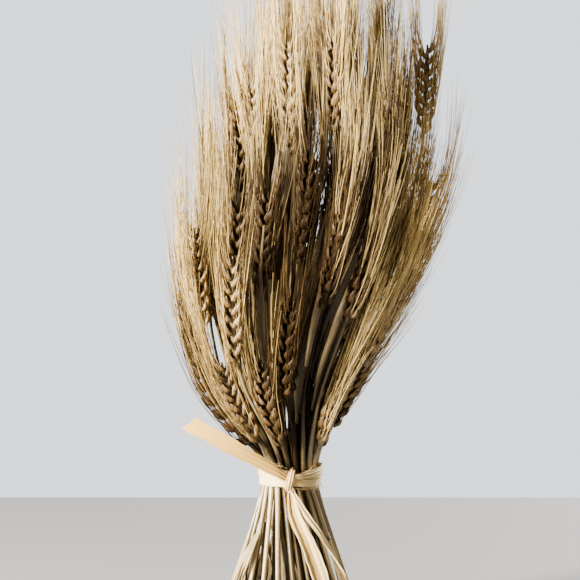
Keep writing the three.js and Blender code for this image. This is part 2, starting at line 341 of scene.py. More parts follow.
def new_group(
    kind: str, name: str, takes: dict[str, object], gives: dict[str, str]
) -> tuple[Graph, dict[str, NodeSocket], Node]:
    """Starts a node group.

    Args:
        kind: the tree's type.
        name: the group's name.
        takes: what each input is: its type, or its default value where that is a number.
        gives: the type of each output.

    Returns:
        The graph, the input sockets by name, and the output node.
    """
    tree = bpy.data.node_groups.new(name, kind)
    for label, given in takes.items():
        is_type = isinstance(given, str)
        socket_type = given if is_type else type(given).__name__.title()
        made = tree.interface.new_socket(name=label, in_out="INPUT", socket_type=f"NodeSocket{socket_type}")
        if not is_type:
            made.default_value = given
    for label, given in gives.items():
        tree.interface.new_socket(name=label, in_out="OUTPUT", socket_type=f"NodeSocket{given}")
    graph = Graph(tree)
    inputs = graph.add("NodeGroupInput").outputs
    return graph, {socket.name: socket for socket in inputs if socket.name}, graph.add("NodeGroupOutput")


# Finishes


def fibre_group() -> NodeTree:
    """Makes fine fibres that run along a piece.

    Returns:
        A group that puts out their mask.
    """
    takes = {"Vector": "Vector", "Scale": 900.0, "Stretch": 20.0, "Sharpness": 0.2, "Seed": 0.0}
    graph, given, out = new_group("ShaderNodeTree", "fibres", takes, {"Mask": "Float"})
    lengthwise = graph.math("DIVIDE", given["Scale"], given["Stretch"])
    scale = graph.get("ShaderNodeCombineXYZ", {0: given["Scale"], 1: given["Scale"], 2: lengthwise})
    place = graph.get("ShaderNodeVectorMath", {0: given["Vector"], 1: scale}, operation="MULTIPLY")
    noise = {"Vector": place, "W": given["Seed"], "Scale": 1.0, "Detail": 3.0, "Roughness": 0.6}
    noise = graph.add("ShaderNodeTexNoise", noise, noise_dimensions="4D").outputs["Fac"]
    low = graph.math("SUBTRACT", 0.5, given["Sharpness"])
    high = graph.math("ADD", 0.5, given["Sharpness"])
    graph.fill(out, {"Mask": graph.spread(noise, low, high, 0.0, 1.0)})
    return graph.tree


def weather_group() -> NodeTree:
    """Makes patches that dried darker, and specks, over the whole sheaf.

    Returns:
        A group that puts out a mask of each.
    """
    takes = {"Vector": "Vector", "Patch Scale": 60.0, "Speck Scale": 900.0}
    gives = {"Patches": "Float", "Specks": "Float"}
    graph, given, out = new_group("ShaderNodeTree", "weathering", takes, gives)
    masks = (("Patches", "Patch Scale", 2.0, 0.42, 0.68), ("Specks", "Speck Scale", 1.0, 0.66, 0.74))
    for mask, scale, detail, low, high in masks:
        noise = {"Vector": given["Vector"], "Scale": given[scale], "Detail": detail}
        noise = graph.add("ShaderNodeTexNoise", noise).outputs["Fac"]
        graph.fill(out, {mask: graph.spread(noise, low, high, 0.0, 1.0)})
    return graph.tree


@dataclass(frozen=True)
class DryFinish:
    """The finish of a dry plant surface.

    Attributes:
        name: the material's name.
        pale: colour of the palest pieces, where the tint is 1.
        deep: colour of darker pieces, where the tint is 0.
        root: colour near a piece's root.
        stain: colour of patches that dried darker, of specks and of furrows.
        root_share: how much of the root's colour shows there.
        root_ends: where along a piece the root's colour has faded out.
        fibre_scale: how fine the fibres are.
        fibre_stretch: how many times longer than wide they are.
        fibre_depth: how dark they are.
        relief: how far the fibres stand up, in millimetres.
        rough: least and most roughness.
        stain_share: how much of the stain shows.
        relief_strength: how strongly the fibres' relief shows.
        brown: colour where the tint is below 0, a near-black brown: mostly painted shade, and on some pieces
            their own darker tone.
        brown_share: how much of it shows where the tint is DEEPEST_SHADE_TINT.
        paper: colour of thin, papery margins, which also stand in for painted highlights on the scales' rims.
        papery: how much of it shows on deep and on pale pieces.
        gloss: the specular level of pale pieces.
        brown_gloss: share of the gloss kept at the lowest tint, so that painted shade loses its shine.
        sheen: the sheen's weight.
        glow: how much light passes into the surface and out again.
        glow_reach: how far it goes, in metres.
    """

    name: str
    pale: Colour
    deep: Colour
    root: Colour
    stain: Colour
    root_share: float
    root_ends: float
    fibre_scale: float
    fibre_stretch: float
    fibre_depth: float
    relief: float
    rough: Span
    stain_share: float
    relief_strength: float = 0.6
    brown: Colour = (0.0085, 0.0045, 0.0013)
    brown_share: float = 0.9
    paper: Colour = (0.8, 0.6, 0.3)
    papery: Span = (0.0, 0.0)
    gloss: float = 0.35
    brown_gloss: float = 0.1
    sheen: float = 0.0
    glow: float = 0.0
    glow_reach: tuple[float, float, float] = (0.002, 0.0013, 0.0007)

    def build(self, fibres: NodeTree, weather: NodeTree) -> Material:
        """Makes the material.

        Args:
            fibres: the shared group of fibres.
            weather: the shared group of patches and specks.

        Returns:
            The finished material.
        """
        material = bpy.data.materials.new(self.name)
        material.use_nodes = True
        graph = Graph(material.node_tree)
        names = ("tint", "reach", "margin", "grain")
        values = [graph.add("ShaderNodeAttribute", attribute_name=name).outputs for name in names]
        tint, reach, margin = (outputs["Fac"] for outputs in values[:3])
        fibre = {"Vector": values[3]["Vector"], "Seed": graph.math("MULTIPLY", tint, SEED_STEP)}
        fibre.update({"Scale": self.fibre_scale, "Stretch": self.fibre_stretch})
        mask = graph.get("ShaderNodeGroup", fibre, node_tree=fibres)
        place = graph.add("ShaderNodeTexCoord").outputs["Object"]
        wear = graph.add("ShaderNodeGroup", {"Vector": place}, node_tree=weather).outputs
        layers = (
            (graph.spread(reach, 0.0, self.root_ends, self.root_share, 0.0), self.root),
            (graph.math("MULTIPLY", margin, graph.spread(tint, 0.0, 1.0, *self.papery)), self.paper),
            (graph.math("MULTIPLY", wear["Patches"], self.stain_share), self.stain),
            (graph.math("MULTIPLY", wear["Specks"], self.stain_share), self.stain),
            (graph.math("MULTIPLY", mask, self.fibre_depth), self.stain),
            # Painted shade, and some pieces' own darker tone: tints below 0 darken to the near-black brown.
            (graph.spread(tint, DEEPEST_SHADE_TINT, 0.0, self.brown_share, 0.0), self.brown),
        )
        # The tint holds each piece's own tone together with the painted light and shade, so pale and deep
        # carry both.
        body = graph.mix(tint, self.deep, self.pale)
        for share, colour in layers:
            body = graph.mix(share, body, colour)
        relief = {"Strength": self.relief_strength, "Distance": self.relief * MM, "Height": mask}
        least_gloss = self.brown_gloss * self.gloss
        dress = {
            "Base Color": body,
            "Roughness": graph.spread(mask, 0.0, 1.0, *self.rough),
            "Normal": graph.get("ShaderNodeBump", relief, invert=True),
            # Pieces in painted shade lose most of their gloss, and dark pieces some of it.
            "Specular IOR Level": graph.spread(tint, DEEPEST_SHADE_TINT, 0.5, least_gloss, self.gloss),
            "Sheen Weight": self.sheen,
            "Subsurface Weight": self.glow,
            "Subsurface Radius": self.glow_reach,
        }
        graph.fill(material.node_tree.nodes["Principled BSDF"], dress)
        return material


STRAW = DryFinish(
    name="straw",
    pale=(0.76, 0.57, 0.27),
    deep=(0.03, 0.018, 0.004),
    root=(0.56, 0.43, 0.22),
    stain=(0.10, 0.066, 0.02),
    root_share=0.12,
    root_ends=0.3,
    fibre_scale=1000.0,
    fibre_stretch=30.0,
    fibre_depth=0.55,
    relief=0.2,
    rough=(0.2, 0.42),
    stain_share=0.35,
    gloss=0.6,
)
HUSK = DryFinish(
    name="husk",
    pale=(0.46, 0.265, 0.068),
    deep=(0.05, 0.023, 0.004),
    root=(0.035, 0.014, 0.003),
    stain=(0.035, 0.015, 0.004),
    root_share=0.75,
    root_ends=0.42,
    fibre_scale=1500.0,
    fibre_stretch=9.0,
    fibre_depth=0.7,
    relief=0.3,
    rough=(0.28, 0.5),
    stain_share=0.4,
    papery=(0.12, 0.8),
)
AWN = DryFinish(
    name="awn",
    pale=(0.86, 0.61, 0.2),
    deep=(0.05, 0.026, 0.006),
    root=(0.04, 0.018, 0.003),
    stain=(0.22, 0.13, 0.045),
    root_share=0.6,
    root_ends=0.35,
    fibre_scale=2400.0,
    fibre_stretch=30.0,
    fibre_depth=0.15,
    relief=0.03,
    rough=(0.3, 0.45),
    stain_share=0.3,
)
RAFFIA = DryFinish(
    name="raffia",
    pale=(0.95, 0.73, 0.34),
    deep=(0.52, 0.32, 0.055),
    root=(0.88, 0.60, 0.24),
    stain=(0.50, 0.27, 0.10),
    root_share=0.1,
    root_ends=0.3,
    fibre_scale=1500.0,
    fibre_stretch=50.0,
    fibre_depth=0.28,
    relief=0.1,
    rough=(0.34, 0.55),
    stain_share=0.15,
    gloss=0.12,
    sheen=0.05,
    glow=0.12,
)


# Where each stalk runs


@dataclass(frozen=True)
class Ring:
    """One ring of stalks round the middle one.

    Attributes:
        count: how many stalks it has.
        radius: its radius in the tie.
        start: direction of its first stalk, in degrees.
        lowest: height of its lowest head above the tie.
        highest: height of its highest head above the tie.
    """

    count: int
    radius: float
    start: float
    lowest: float = 0.0
    highest: float = 0.0


@dataclass(frozen=True)
class Spread:
    """The rule that every stalk's centre line follows, the same as in the part's source.

    Attributes:
        waist: radius of the outermost ring in the tie.
        rings: the rings, from the middle one outwards.
        outer_heads: heights of the outermost ring's heads, round the sheaf.
        foot_slope: how fast the feet spread.
        foot_ease: how gently that starts.
        crown_spread: how far the crown opens.
        crown_rise: the height over which it does.
        crown_power: how late it starts.
        crowding: how far the crown's opening pushes the inner stalks outwards.
        foot_twist: how far the feet twist, in degrees.
        crown_twist: how far the crown twists, in degrees.
        twist_ease: the height at which half of a twist is reached.
        low_lean: how far the lower left leans out, and the height over which it does.
        high_lean: how far the top leans to the right, from which height, and over which.
        wander: least and most that a stalk strays by chance.
        wander_rise: the height over which it does.
        pinch: the height up to which the tie holds the stalks together.
        low_head: an outer head that starts lower than this is pushed out.
        low_head_push: how far, on the left and on the right.
        head_length: least and most length of a head.
    """

    waist: float = 16.2
    rings: tuple[Ring, ...] = (
        Ring(1, 0.0, 0, 238, 238),
        Ring(6, 4.2, 74, 196, 236),
        Ring(12, 8.2, 149, 140, 232),
        Ring(17, 12.2, 223, 80, 180),
        Ring(22, 16.2, -172),
    )
    outer_heads: Values = (
        62, 20, 95, 24, 78, 22, 52, 112, 102, 19, 69, 96, 30, 128, 225, 26, 150, 66, 205, 44, 130, 100,
    )
    foot_slope: float = 0.33
    foot_ease: float = 8.0
    crown_spread: float = 73.0
    crown_rise: float = 114.0
    crown_power: float = 1.6
    crowding: float = 0.38
    foot_twist: float = 34.0
    crown_twist: float = 24.0
    twist_ease: float = 45.0
    low_lean: Span = (11.0, 60.0)
    high_lean: tuple[float, float, float] = (20.0, 40.0, 190.0)
    wander: Span = (1.5, 4.2)
    wander_rise: float = 150.0
    pinch: float = 8.0
    low_head: float = 95.0
    low_head_push: Span = (7.5, 2.5)
    head_length: Span = (60.0, 80.0)

    def radius(self, above: np.ndarray) -> np.ndarray:
        """The outline of the stem centres.

        Args:
            above: heights above or below the tie.

        Returns:
            Radius of the outermost ring at each.
        """
        drop = np.hypot(above, self.foot_ease) - self.foot_ease
        rise = np.maximum(above, 0) / self.crown_rise
        crown = self.crown_spread * (1 - np.exp(-(rise**self.crown_power)))
        return self.waist + np.where(above < 0, self.foot_slope * drop, crown)

    def turn(self, above: np.ndarray) -> np.ndarray:
        """How far the bundle has twisted at heights above or below the tie, in radians."""
        twist = np.where(above < 0, self.foot_twist, self.crown_twist)
        return -np.radians(twist) * above / (np.abs(above) + self.twist_ease)


@dataclass
class Lane:
    """One stalk's place in the sheaf: where its centre lies at any height.

    Attributes:
        rule: the rule that all stalks share.
        index: the stalk's number, from 0.
        ring: which ring it is in.
        place: its number in the ring.
        steps: the heights at which its length is measured.
    """

    rule: Spread
    index: int
    ring: int
    place: int
    steps: np.ndarray = field(default_factory=lambda: np.arange(-TIE_HEIGHT, 420.0))

    def __post_init__(self) -> None:
        """Works out the stalk's own values from its numbers."""
        rule, ring = self.rule, self.rule.rings[self.ring]
        self.is_outer = self.ring == len(rule.rings) - 1
        self.share = ring.radius / rule.waist
        self.azimuth = math.radians(ring.start + 360 * self.place / ring.count)
        inner_head = lerp(ring.lowest, ring.highest, spread_out(self.place, 14))
        self.head_base = rule.outer_heads[self.place] if self.is_outer else inner_head
        heading = 2 * math.pi * spread_out(self.index, 3)
        straying = lerp(*rule.wander, spread_out(self.index, 4))
        self.wander = straying * np.array([math.cos(heading), math.sin(heading)])
        is_pushed = self.is_outer and self.head_base < rule.low_head
        self.push = lerp(*rule.low_head_push, 0.5 + 0.5 * math.cos(self.azimuth)) if is_pushed else 0.0
        self.head_length = lerp(*rule.head_length, spread_out(self.index, 2))
        self.roll = 2 * math.pi * spread_out(self.index, 5)
        gaps = np.linalg.norm(np.diff(self.at(self.steps), axis=0), axis=1)
        self.lengths = np.concatenate([[0.0], np.cumsum(gaps)])
        self.head_top = float(self.climb(self.head_base, self.head_length))

    def at(self, above: np.ndarray) -> np.ndarray:
        """The stalk's centre line.

        Args:
            above: the heights.

        Returns:
            Its centre at each, one point a row.
        """
        rule = self.rule
        above = np.atleast_1d(np.asarray(above, float))
        rise = np.maximum(above, 0)
        crowding = 1 - rule.crowding * ease(rise / rule.crown_rise / 2)
        outward = self.push * ramp(rise, rule.pinch, self.head_base)
        settle = 1 - 0.5 * ramp(rise, self.head_base, self.head_length)
        radius = rule.radius(above) * self.share**crowding + outward * settle
        turn = self.azimuth + rule.turn(above)
        low, low_rise = rule.low_lean
        high, high_start, high_rise = rule.high_lean
        over = ramp(rise, high_start, high_rise)
        leftness = self.share * (0.5 - 0.5 * np.cos(turn))
        lean = high * over - low * leftness * ramp(rise, rule.pinch, low_rise) * (1 - over)
        roam = ramp(rise, 0.0, rule.wander_rise)
        x = radius * np.cos(turn) + lean + roam * self.wander[0]
        y = radius * np.sin(turn) + roam * self.wander[1]
        return np.stack([x, y, TIE_HEIGHT + above], axis=-1)

    def climb(self, above: float, distance: np.ndarray | float) -> np.ndarray | float:
        """The height reached after going a distance up the stalk."""
        start = np.interp(above, self.steps, self.lengths)
        return np.interp(start + distance, self.lengths, self.steps)

    def axes(self, above: np.ndarray) -> tuple[np.ndarray, np.ndarray, np.ndarray, np.ndarray]:
        """Axes at some heights.

        Args:
            above: the heights.

        Returns:
            The centres, then along the stalk, across the two rows of its head, and out of their plane.
        """
        above = np.atleast_1d(np.asarray(above, float))
        along = unit(self.at(above + 1) - self.at(above - 1))
        level = np.array([math.cos(self.roll), math.sin(self.roll), 0.0])
        out = unit(np.cross(along, level))
        return self.at(above), along, np.cross(out, along), out


def lay_lanes(rule: Spread) -> list[Lane]:
    """Lays out all the stalks.

    Args:
        rule: the rule that they share.

    Returns:
        Their places, from the middle one outwards.
    """
    places = [(ring, place) for ring, row in enumerate(rule.rings) for place in range(row.count)]
    return [Lane(rule, index, ring, place) for index, (ring, place) in enumerate(places)]


# Light and shade painted into the sheaf's tint


@dataclass(frozen=True)
class Hollow:
    """A place where the crown opens, painted darker as the shade of its inside.

    Attributes:
        place: how far it is to the right, as a share of the crown's half width.
        height: its height above the tie.
        half_width: its half width, as such a share.
        half_height: its half height.
        depth: how much painted shade it lays on.
    """

    place: float
    height: float
    half_width: float
    half_height: float
    depth: float

    def shade(self, across: np.ndarray, above: np.ndarray) -> np.ndarray:
        """How much painted shade it lays on some places, none below the tie."""
        level = np.exp(-(((above - self.height) / self.half_height) ** 4))
        return self.depth * hump(across, self.place, self.half_width) * level * (above > 0)


@dataclass(frozen=True)
class Sun:
    """Light and shade painted into the sheaf's tint: palest on the left and on top, darkest inside.

    Attributes:
        crown: least and most that it adds to the tint above the tie.
        feet: the same below the tie.
        left: where the left side's light starts, as a share of the half width, and how gently.
        left_low: how much of that light is left just above the tie.
        left_rise: the height over which it comes back.
        right: where the right side's light starts, and how gently.
        right_light: how strong it is.
        edge: where the light on the right edge starts, and how gently.
        edge_light: how strong it is.
        edge_rise: the height over which it comes.
        top: the height where the light on top starts, and over which it comes.
        inside: what is taken off the tint of stalks inside, below the top, as painted shade.
        back: where the back starts, and how gently.
        back_shade: how much of the hollows' shade it has.
        hollows: where the crown opens, painted in shade.
    """

    crown: Span = (-0.65, 0.08)
    feet: Span = (-0.55, 0.12)
    left: Span = (0.15, 0.45)
    left_low: float = 0.2
    left_rise: float = 130.0
    right: Span = (0.45, 0.4)
    right_light: float = 0.62
    edge: Span = (0.72, 0.2)
    edge_light: float = 0.6
    edge_rise: float = 100.0
    top: Span = (185.0, 60.0)
    inside: float = 0.3
    back: Span = (0.55, 0.3)
    back_shade: float = 0.35
    hollows: tuple[Hollow, ...] = (
        Hollow(0.2, 148.0, 0.2, 130.0, 1.3),
        Hollow(0.59, 168.0, 0.1, 45.0, 0.9),
        Hollow(0.74, 262.0, 0.12, 62.0, 0.9),
        Hollow(-0.33, 105.0, 0.12, 50.0, 0.6),
    )

    def fading(self, lane: Lane, points: np.ndarray) -> np.ndarray:
        """The light and shade painted on a stalk.

        Args:
            lane: the stalk's place.
            points: points of it, one a row.

        Returns:
            What is added to the tint at each.
        """
        above = points[..., 2] - TIE_HEIGHT
        radius = lane.rule.radius(above)
        across, behind = points[..., 0] / radius, points[..., 1] / radius
        rising = np.where(above > 0, lerp(self.left_low, 1.0, ramp(above, 0.0, self.left_rise)), 1.0)
        lit = ramp(-across, *self.left) * rising + self.right_light * ramp(across, *self.right)
        lit = lit + self.edge_light * ramp(across, *self.edge) * ramp(above, 0.0, self.edge_rise)
        high = ramp(above, *self.top)
        # Painted light on the left, on the right edge and on top; painted shade in the hollows, less at the
        # back, and on the stalks inside.
        painted_lit = 1 - (1 - lit) * (1 - high)
        shaded = lerp(1.0, self.back_shade, ramp(behind, *self.back))
        for hollow in self.hollows:
            painted_lit = painted_lit - hollow.shade(across, above) * shaded
        inside = 0.0 if lane.is_outer else self.inside * (1 - high)
        return np.where(above > 0, lerp(*self.crown, painted_lit), lerp(*self.feet, painted_lit)) - inside


# Wheat


@dataclass(frozen=True)
class HuskShape:
    """A boat-shaped scale of unit length along +Z, with its keel on +Y.

    Attributes:
        kind: which scale it is.
        widths: half width at even steps from root to tip.
        keel: how far the keel stands out, as a share of the half width.
        hollow: how far the inner side stands in.
        hook: how far the tip bends inwards.
        bow: how far the middle bends outwards.
        sides: how many points it has round it.
    """

    kind: Husk
    widths: Values
    keel: float
    hollow: float
    hook: float
    bow: float = 0.10
    sides: int = 8

    def skin(self) -> Skin:
        """The scale's skin.

        Returns:
            Its skin at unit length, with its papery margin as the tint: paler rims and tip, which also stand
            in for painted rim highlights.
        """
        share = np.linspace(0, 1, len(self.widths))[:, None]
        half = np.array(self.widths)[:, None]
        angle = np.linspace(0, 2 * math.pi, self.sides, endpoint=False)[None, :]
        round_x, round_y = np.cos(angle), np.sin(angle)
        depth = np.where(round_y > 0, self.keel * np.abs(round_y) ** 1.4, self.hollow * round_y)
        bend = self.bow * np.sin(math.pi * share) - self.hook * share**3
        rings = np.stack(np.broadcast_arrays(half * round_x, half * depth + bend, share), axis=-1)
        points = rings.reshape(-1, 3)
        # Papery margins on the rims and the tip, paler also as painted highlights.
        margin = 0.8 * np.abs(round_x) ** 6 * ease(share * 3) + ease(share * 6 - 5)
        reach = np.repeat(share, self.sides)
        return Skin(points / MM, lofted(rings), points * [10.0, 0.0, 10.0], reach, np.clip(margin, 0, 1))

    def tip(self) -> np.ndarray:
        """Where an awn leaves the scale, in its own axes."""
        return np.array([0.0, -self.hook, 1.0])


GLUME = HuskShape(Husk.GLUME, (0.10, 0.22, 0.245, 0.19, 0.10, 0.015), 0.95, 0.25, 0.02)
LEMMA = HuskShape(Husk.LEMMA, (0.09, 0.205, 0.235, 0.185, 0.10, 0.022), 1.0, 0.3, 0.10)


@dataclass(frozen=True)
class Bract:
    """One scale's place in its spikelet.

    Attributes:
        shape: the scale's shape.
        length: its length.
        width: its width against its own shape's.
        aside: its root's distance from the rachis.
        outward: its root's distance out of the rows' plane.
        lift: its root's height above the spikelet's.
        lean: angle away from the rachis, in degrees.
        splay: angle out of the rows' plane, in degrees.
        keel: how far the keel faces out of the rows' plane, from -1 to 1.
        beard: least and most length of its awns.
        awns: how many awns rise from it, its own and those of the florets inside.
    """

    shape: HuskShape
    length: float
    width: float
    aside: float
    outward: float
    lift: float
    lean: float
    splay: float
    keel: float
    beard: Span
    awns: int


SPIKELET = (
    Bract(GLUME, 8.6, 1.0, 0.9, 1.9, 0.0, 17, 16, 0.85, (12, 50), 1),
    Bract(GLUME, 8.6, 1.0, 0.9, -1.9, 0.0, 17, -16, -0.85, (12, 50), 1),
    Bract(LEMMA, 11.2, 1.0, 1.6, 1.4, 1.5, 27, 12, 0.7, (52, 82), 2),
    Bract(LEMMA, 11.2, 1.0, 1.6, -1.4, 1.5, 27, -12, -0.7, (52, 82), 2),
    Bract(LEMMA, 9.8, 0.9, 2.3, 0.0, 3.2, 31, 0, 0.0, (46, 76), 2),
)


@dataclass(frozen=True)
class Shred:
    """What the dry leaves inside the sheaf are like.

    Attributes:
        widths: a leaf's width at even steps.
        breadth: least and most chance breadth, as a share of that.
        inner_breadth: how much broader it is in the innermost rings.
        stretch: least and most chance length.
        gap: how far from the straw's middle it starts.
        away: least and most that its tip stands off beyond that.
        turn: least and most twist over its length, in degrees.
    """

    widths: Values = (2.2, 5.0, 6.0, 5.6, 4.6, 3.0, 1.0)
    breadth: Span = (0.9, 1.4)
    inner_breadth: float = 2.2
    stretch: Span = (0.8, 1.2)
    gap: float = 1.6
    away: Span = (2.0, 7.0)
    turn: Span = (40.0, 240.0)


#: One scale of a head: the scale, its root, its axes as columns, its size and its side of the head.
Placed = tuple[Bract, np.ndarray, np.ndarray, np.ndarray, int]


@dataclass
class WheatStalk:
    """One stalk of bearded wheat: its straw, the scales of its head and their awns.

    Attributes:
        lane: where the stalk runs.
        sun: the light and shade painted into its tint.
        own_tint: least and most tint of a stalk before that.
        own_stoutness: least and most stoutness of its foot.
        straw_radius: radius of the straw at its foot and under the head.
        neck_rise: height over which it thins.
        straw_sides: how many points it has round it.
        straw_step: height from one ring of points to the next.
        bore: radius of its hole, as a share of its own.
        pith_depth: how deep the hole is.
        low_joint: lowest and highest place of a joint below the tie.
        high_joint: lowest and highest place of a joint above the tie.
        low_joints: the share of stalks whose joint is below the tie.
        joint_rings: where rings of points stand round a joint.
        joint_swelling: how much thicker a joint is, and its half length.
        joint_brown: how much browner it is, and the half length of that.
        rachis: how much thicker the straw is inside the head, and at the head's tip against that.
        rachis_rise: the heights over which it gets so.
        foot_rise: how far below the tie the feet start to differ in stoutness, and over which length.
        foot_tones: how much the feet differ in tint.
        spikelets: how many spikelets the head has.
        smallest: size of the spikelets at its ends.
        uneven: least and most chance size of a spikelet.
        uneven_scales: least and most chance length of a scale.
        sway: how far a scale's lean and splay stray by chance, in degrees.
        tones: how far a scale's tint and an awn's tint stray by chance.
        awn_radius: an awn's radius at its root.
        awn_points: how many points it has.
        awn_settle: the length over which it turns up.
        awn_lean: least and most angle away from the head's middle, in degrees.
        awn_splay: least and most angle out of the rows' plane, in degrees.
        awn_bend: how far it may bend.
        awn_roots: how far below a scale's tip its first awn starts, and the next one below that.
        bright_awns: the share of awns that are brighter, and how much.
        highest_tip: height that no awn passes, from the ground.
        leaf: what its dry leaves are like.
        leafy_rings: how many inner rings have more and broader dry leaves, which also fill the gaps there
            with painted shade.
    """

    lane: Lane
    sun: Sun
    own_tint: Span = (0.24, 0.74)
    own_stoutness: Span = (0.6, 1.03)
    straw_radius: Span = (1.95, 1.0)
    neck_rise: float = 65.0
    straw_sides: int = 10
    straw_step: float = 7.0
    bore: float = 0.62
    pith_depth: float = 5.0
    low_joint: Span = (-86.0, -34.0)
    high_joint: Span = (24.0, 90.0)
    low_joints: float = 0.55
    joint_rings: Values = (-3.2, -1.6, -0.7, 0.0, 0.7, 1.6, 3.2)
    joint_swelling: Span = (0.20, 1.1)
    joint_brown: Span = (0.5, 2.2)
    rachis: Span = (2.1, 0.4)
    rachis_rise: Span = (8.0, 16.0)
    foot_rise: Span = (6.0, 25.0)
    foot_tones: float = 0.6
    spikelets: int = 15
    smallest: float = 0.66
    uneven: Span = (0.94, 1.08)
    uneven_scales: Span = (0.95, 1.06)
    sway: Span = (2.2, 2.5)
    tones: Span = (0.16, 0.34)
    awn_radius: float = 0.31
    awn_points: int = 7
    awn_settle: float = 7.0
    awn_lean: Span = (-1.5, 7.5)
    awn_splay: Span = (-6.5, 6.5)
    awn_bend: float = 0.0006
    awn_roots: Span = (0.8, 2.5)
    bright_awns: Span = (0.15, 0.6)
    highest_tip: float = 486.0
    leaf: Shred = Shred()
    leafy_rings: int = 2

    def __post_init__(self) -> None:
        """Draws the stalk's own tint and stoutness."""
        self.random = np.random.default_rng(1000 + self.lane.index)
        self.tint = lerp(*self.own_tint, spread_out(self.lane.index, 9))
        self.stoutness = lerp(*self.own_stoutness, spread_out(self.lane.index, 12))

    @property
    def name(self) -> str:
        """The stalk's name, which is its CAD node's too."""
        return f"stalk_{self.lane.index + 1:02d}"

    def faded(self, tint: np.ndarray | float, points: np.ndarray) -> np.ndarray:
        """A tint at some points with the painted light and shade added."""
        return np.clip(tint + self.sun.fading(self.lane, points), DEEPEST_SHADE_TINT, 1)

    def straw_skin(self) -> Skin:
        """The hollow straw with its joint, cut level at the foot, and the rachis inside the head.

        Returns:
            Its skin.
        """
        lane = self.lane
        is_low = self.random.random() < self.low_joints
        joint = lerp(*(self.low_joint if is_low else self.high_joint), self.random.random())
        near = joint + np.array(self.joint_rings)
        swelling, swelling_length = self.joint_swelling
        brown, brown_length = self.joint_brown
        neck, tip = self.rachis_rise
        heights = np.arange(self.straw_step - TIE_HEIGHT, lane.head_top - 1, self.straw_step)
        heights = heights[np.min(np.abs(heights[:, None] - near[None, :]), axis=1) > 1.5]
        heights = np.sort(np.concatenate([heights, near, [lane.head_top]]))
        radius = lerp(*self.straw_radius, ramp(heights, 0.0, self.neck_rise))
        radius = radius * (1 + swelling * hump(heights, joint, swelling_length) - 0.05 * (heights > joint))
        radius = radius * lerp(1.0, self.rachis[0], ramp(heights, lane.head_base, neck))
        radius = radius * lerp(1.0, self.rachis[1], ramp(heights, lane.head_top - tip, tip))
        radius = radius * lerp(1.0, self.stoutness, ramp(-heights, *self.foot_rise))
        foot = self.straw_radius[0] * self.stoutness
        heights = np.concatenate([[self.pith_depth - TIE_HEIGHT, -TIE_HEIGHT, -TIE_HEIGHT], heights])
        radius = np.concatenate([[foot * self.bore, foot * self.bore, foot], radius])[:, None]
        at, along, across, out = lane.axes(heights)
        angle = np.linspace(0, 2 * math.pi, self.straw_sides, endpoint=False)
        x, y = radius * np.cos(angle), radius * np.sin(angle)
        rings = at[:, None] + x[..., None] * across[:, None] + y[..., None] * out[:, None]
        rings[1:3] -= along[1:3, None] * rings[1:3, :, 2:3] / along[1:3, None, 2:3]
        gone = np.interp(heights, lane.steps, lane.lengths)
        grain = np.stack(np.broadcast_arrays(x, y, gone[:, None]), axis=-1).reshape(-1, 3)
        dark = hump(heights, joint, brown_length) + 0.6 * ramp(heights, lane.head_base - neck, neck)
        own = self.foot_tones * (spread_out(lane.index, 21) - 0.5) * (heights < 0)
        tint = self.faded(self.tint - brown * dark + 0.1 * (heights < joint) + own, at)
        reach = np.repeat(np.clip(gone / 300, 0, 1), self.straw_sides)
        return Skin(rings.reshape(-1, 3), lofted(rings), grain, reach, np.repeat(tint, self.straw_sides))

    def leaf_skin(self, lowest: float, highest: float, rise: float, inward: float = 1.0) -> Skin:
        """A dry, twisted leaf that clings to the straw inside the sheaf.

        Args:
            lowest: the lowest height at which it may start.
            highest: the highest such height.
            rise: how far up it reaches.
            inward: how far from the sheaf's axis it lies, as a share of the straw's own distance.

        Returns:
            Its skin.
        """
        leaf = self.leaf
        share = np.linspace(0, 1, len(leaf.widths))
        base = lerp(lowest, highest, self.random.random())
        stretch = lerp(*leaf.stretch, self.random.random())
        at, _, across, out = self.lane.axes(base + rise * stretch * share)
        heading = 2 * math.pi * self.random.random()
        away = leaf.gap + lerp(*leaf.away, self.random.random()) * share[:, None] ** 1.5
        route = at + away * (across * math.cos(heading) + out * math.sin(heading)) - [0, 0, TIE_HEIGHT]
        route[:, :2] *= inward
        turn = lerp(*leaf.turn, self.random.random())
        breadth = leaf.inner_breadth if self.lane.ring < self.leafy_rings else 1.0
        breadth = breadth * lerp(*leaf.breadth, self.random.random())
        laid = {"route": tuple(map(tuple, route)), "width": tuple(breadth * np.array(leaf.widths))}
        return replace(BLADE, **laid, twist=(0.0, 0.2 * turn, turn), seed=300 + self.lane.index).skin()

    def leaves(self) -> list[Skin]:
        """The stalk's dry leaves, on inner stalks alone: dark leaves that also fill the gaps inside the sheaf
        with painted shade.

        Returns:
            Their skins.
        """
        if self.lane.is_outer:
            return []
        head = self.lane.head_base
        reaches = [(22.0, 80.0, 105.0), (head - 70.0, head - 40.0, 90.0), (-98.0, -80.0, 58.0, 0.88)]
        if self.lane.ring < self.leafy_rings:
            reaches += [(70.0, 110.0, 100.0), (60.0, 120.0, 100.0)]
        return [self.leaf_skin(*reach) for reach in reaches]

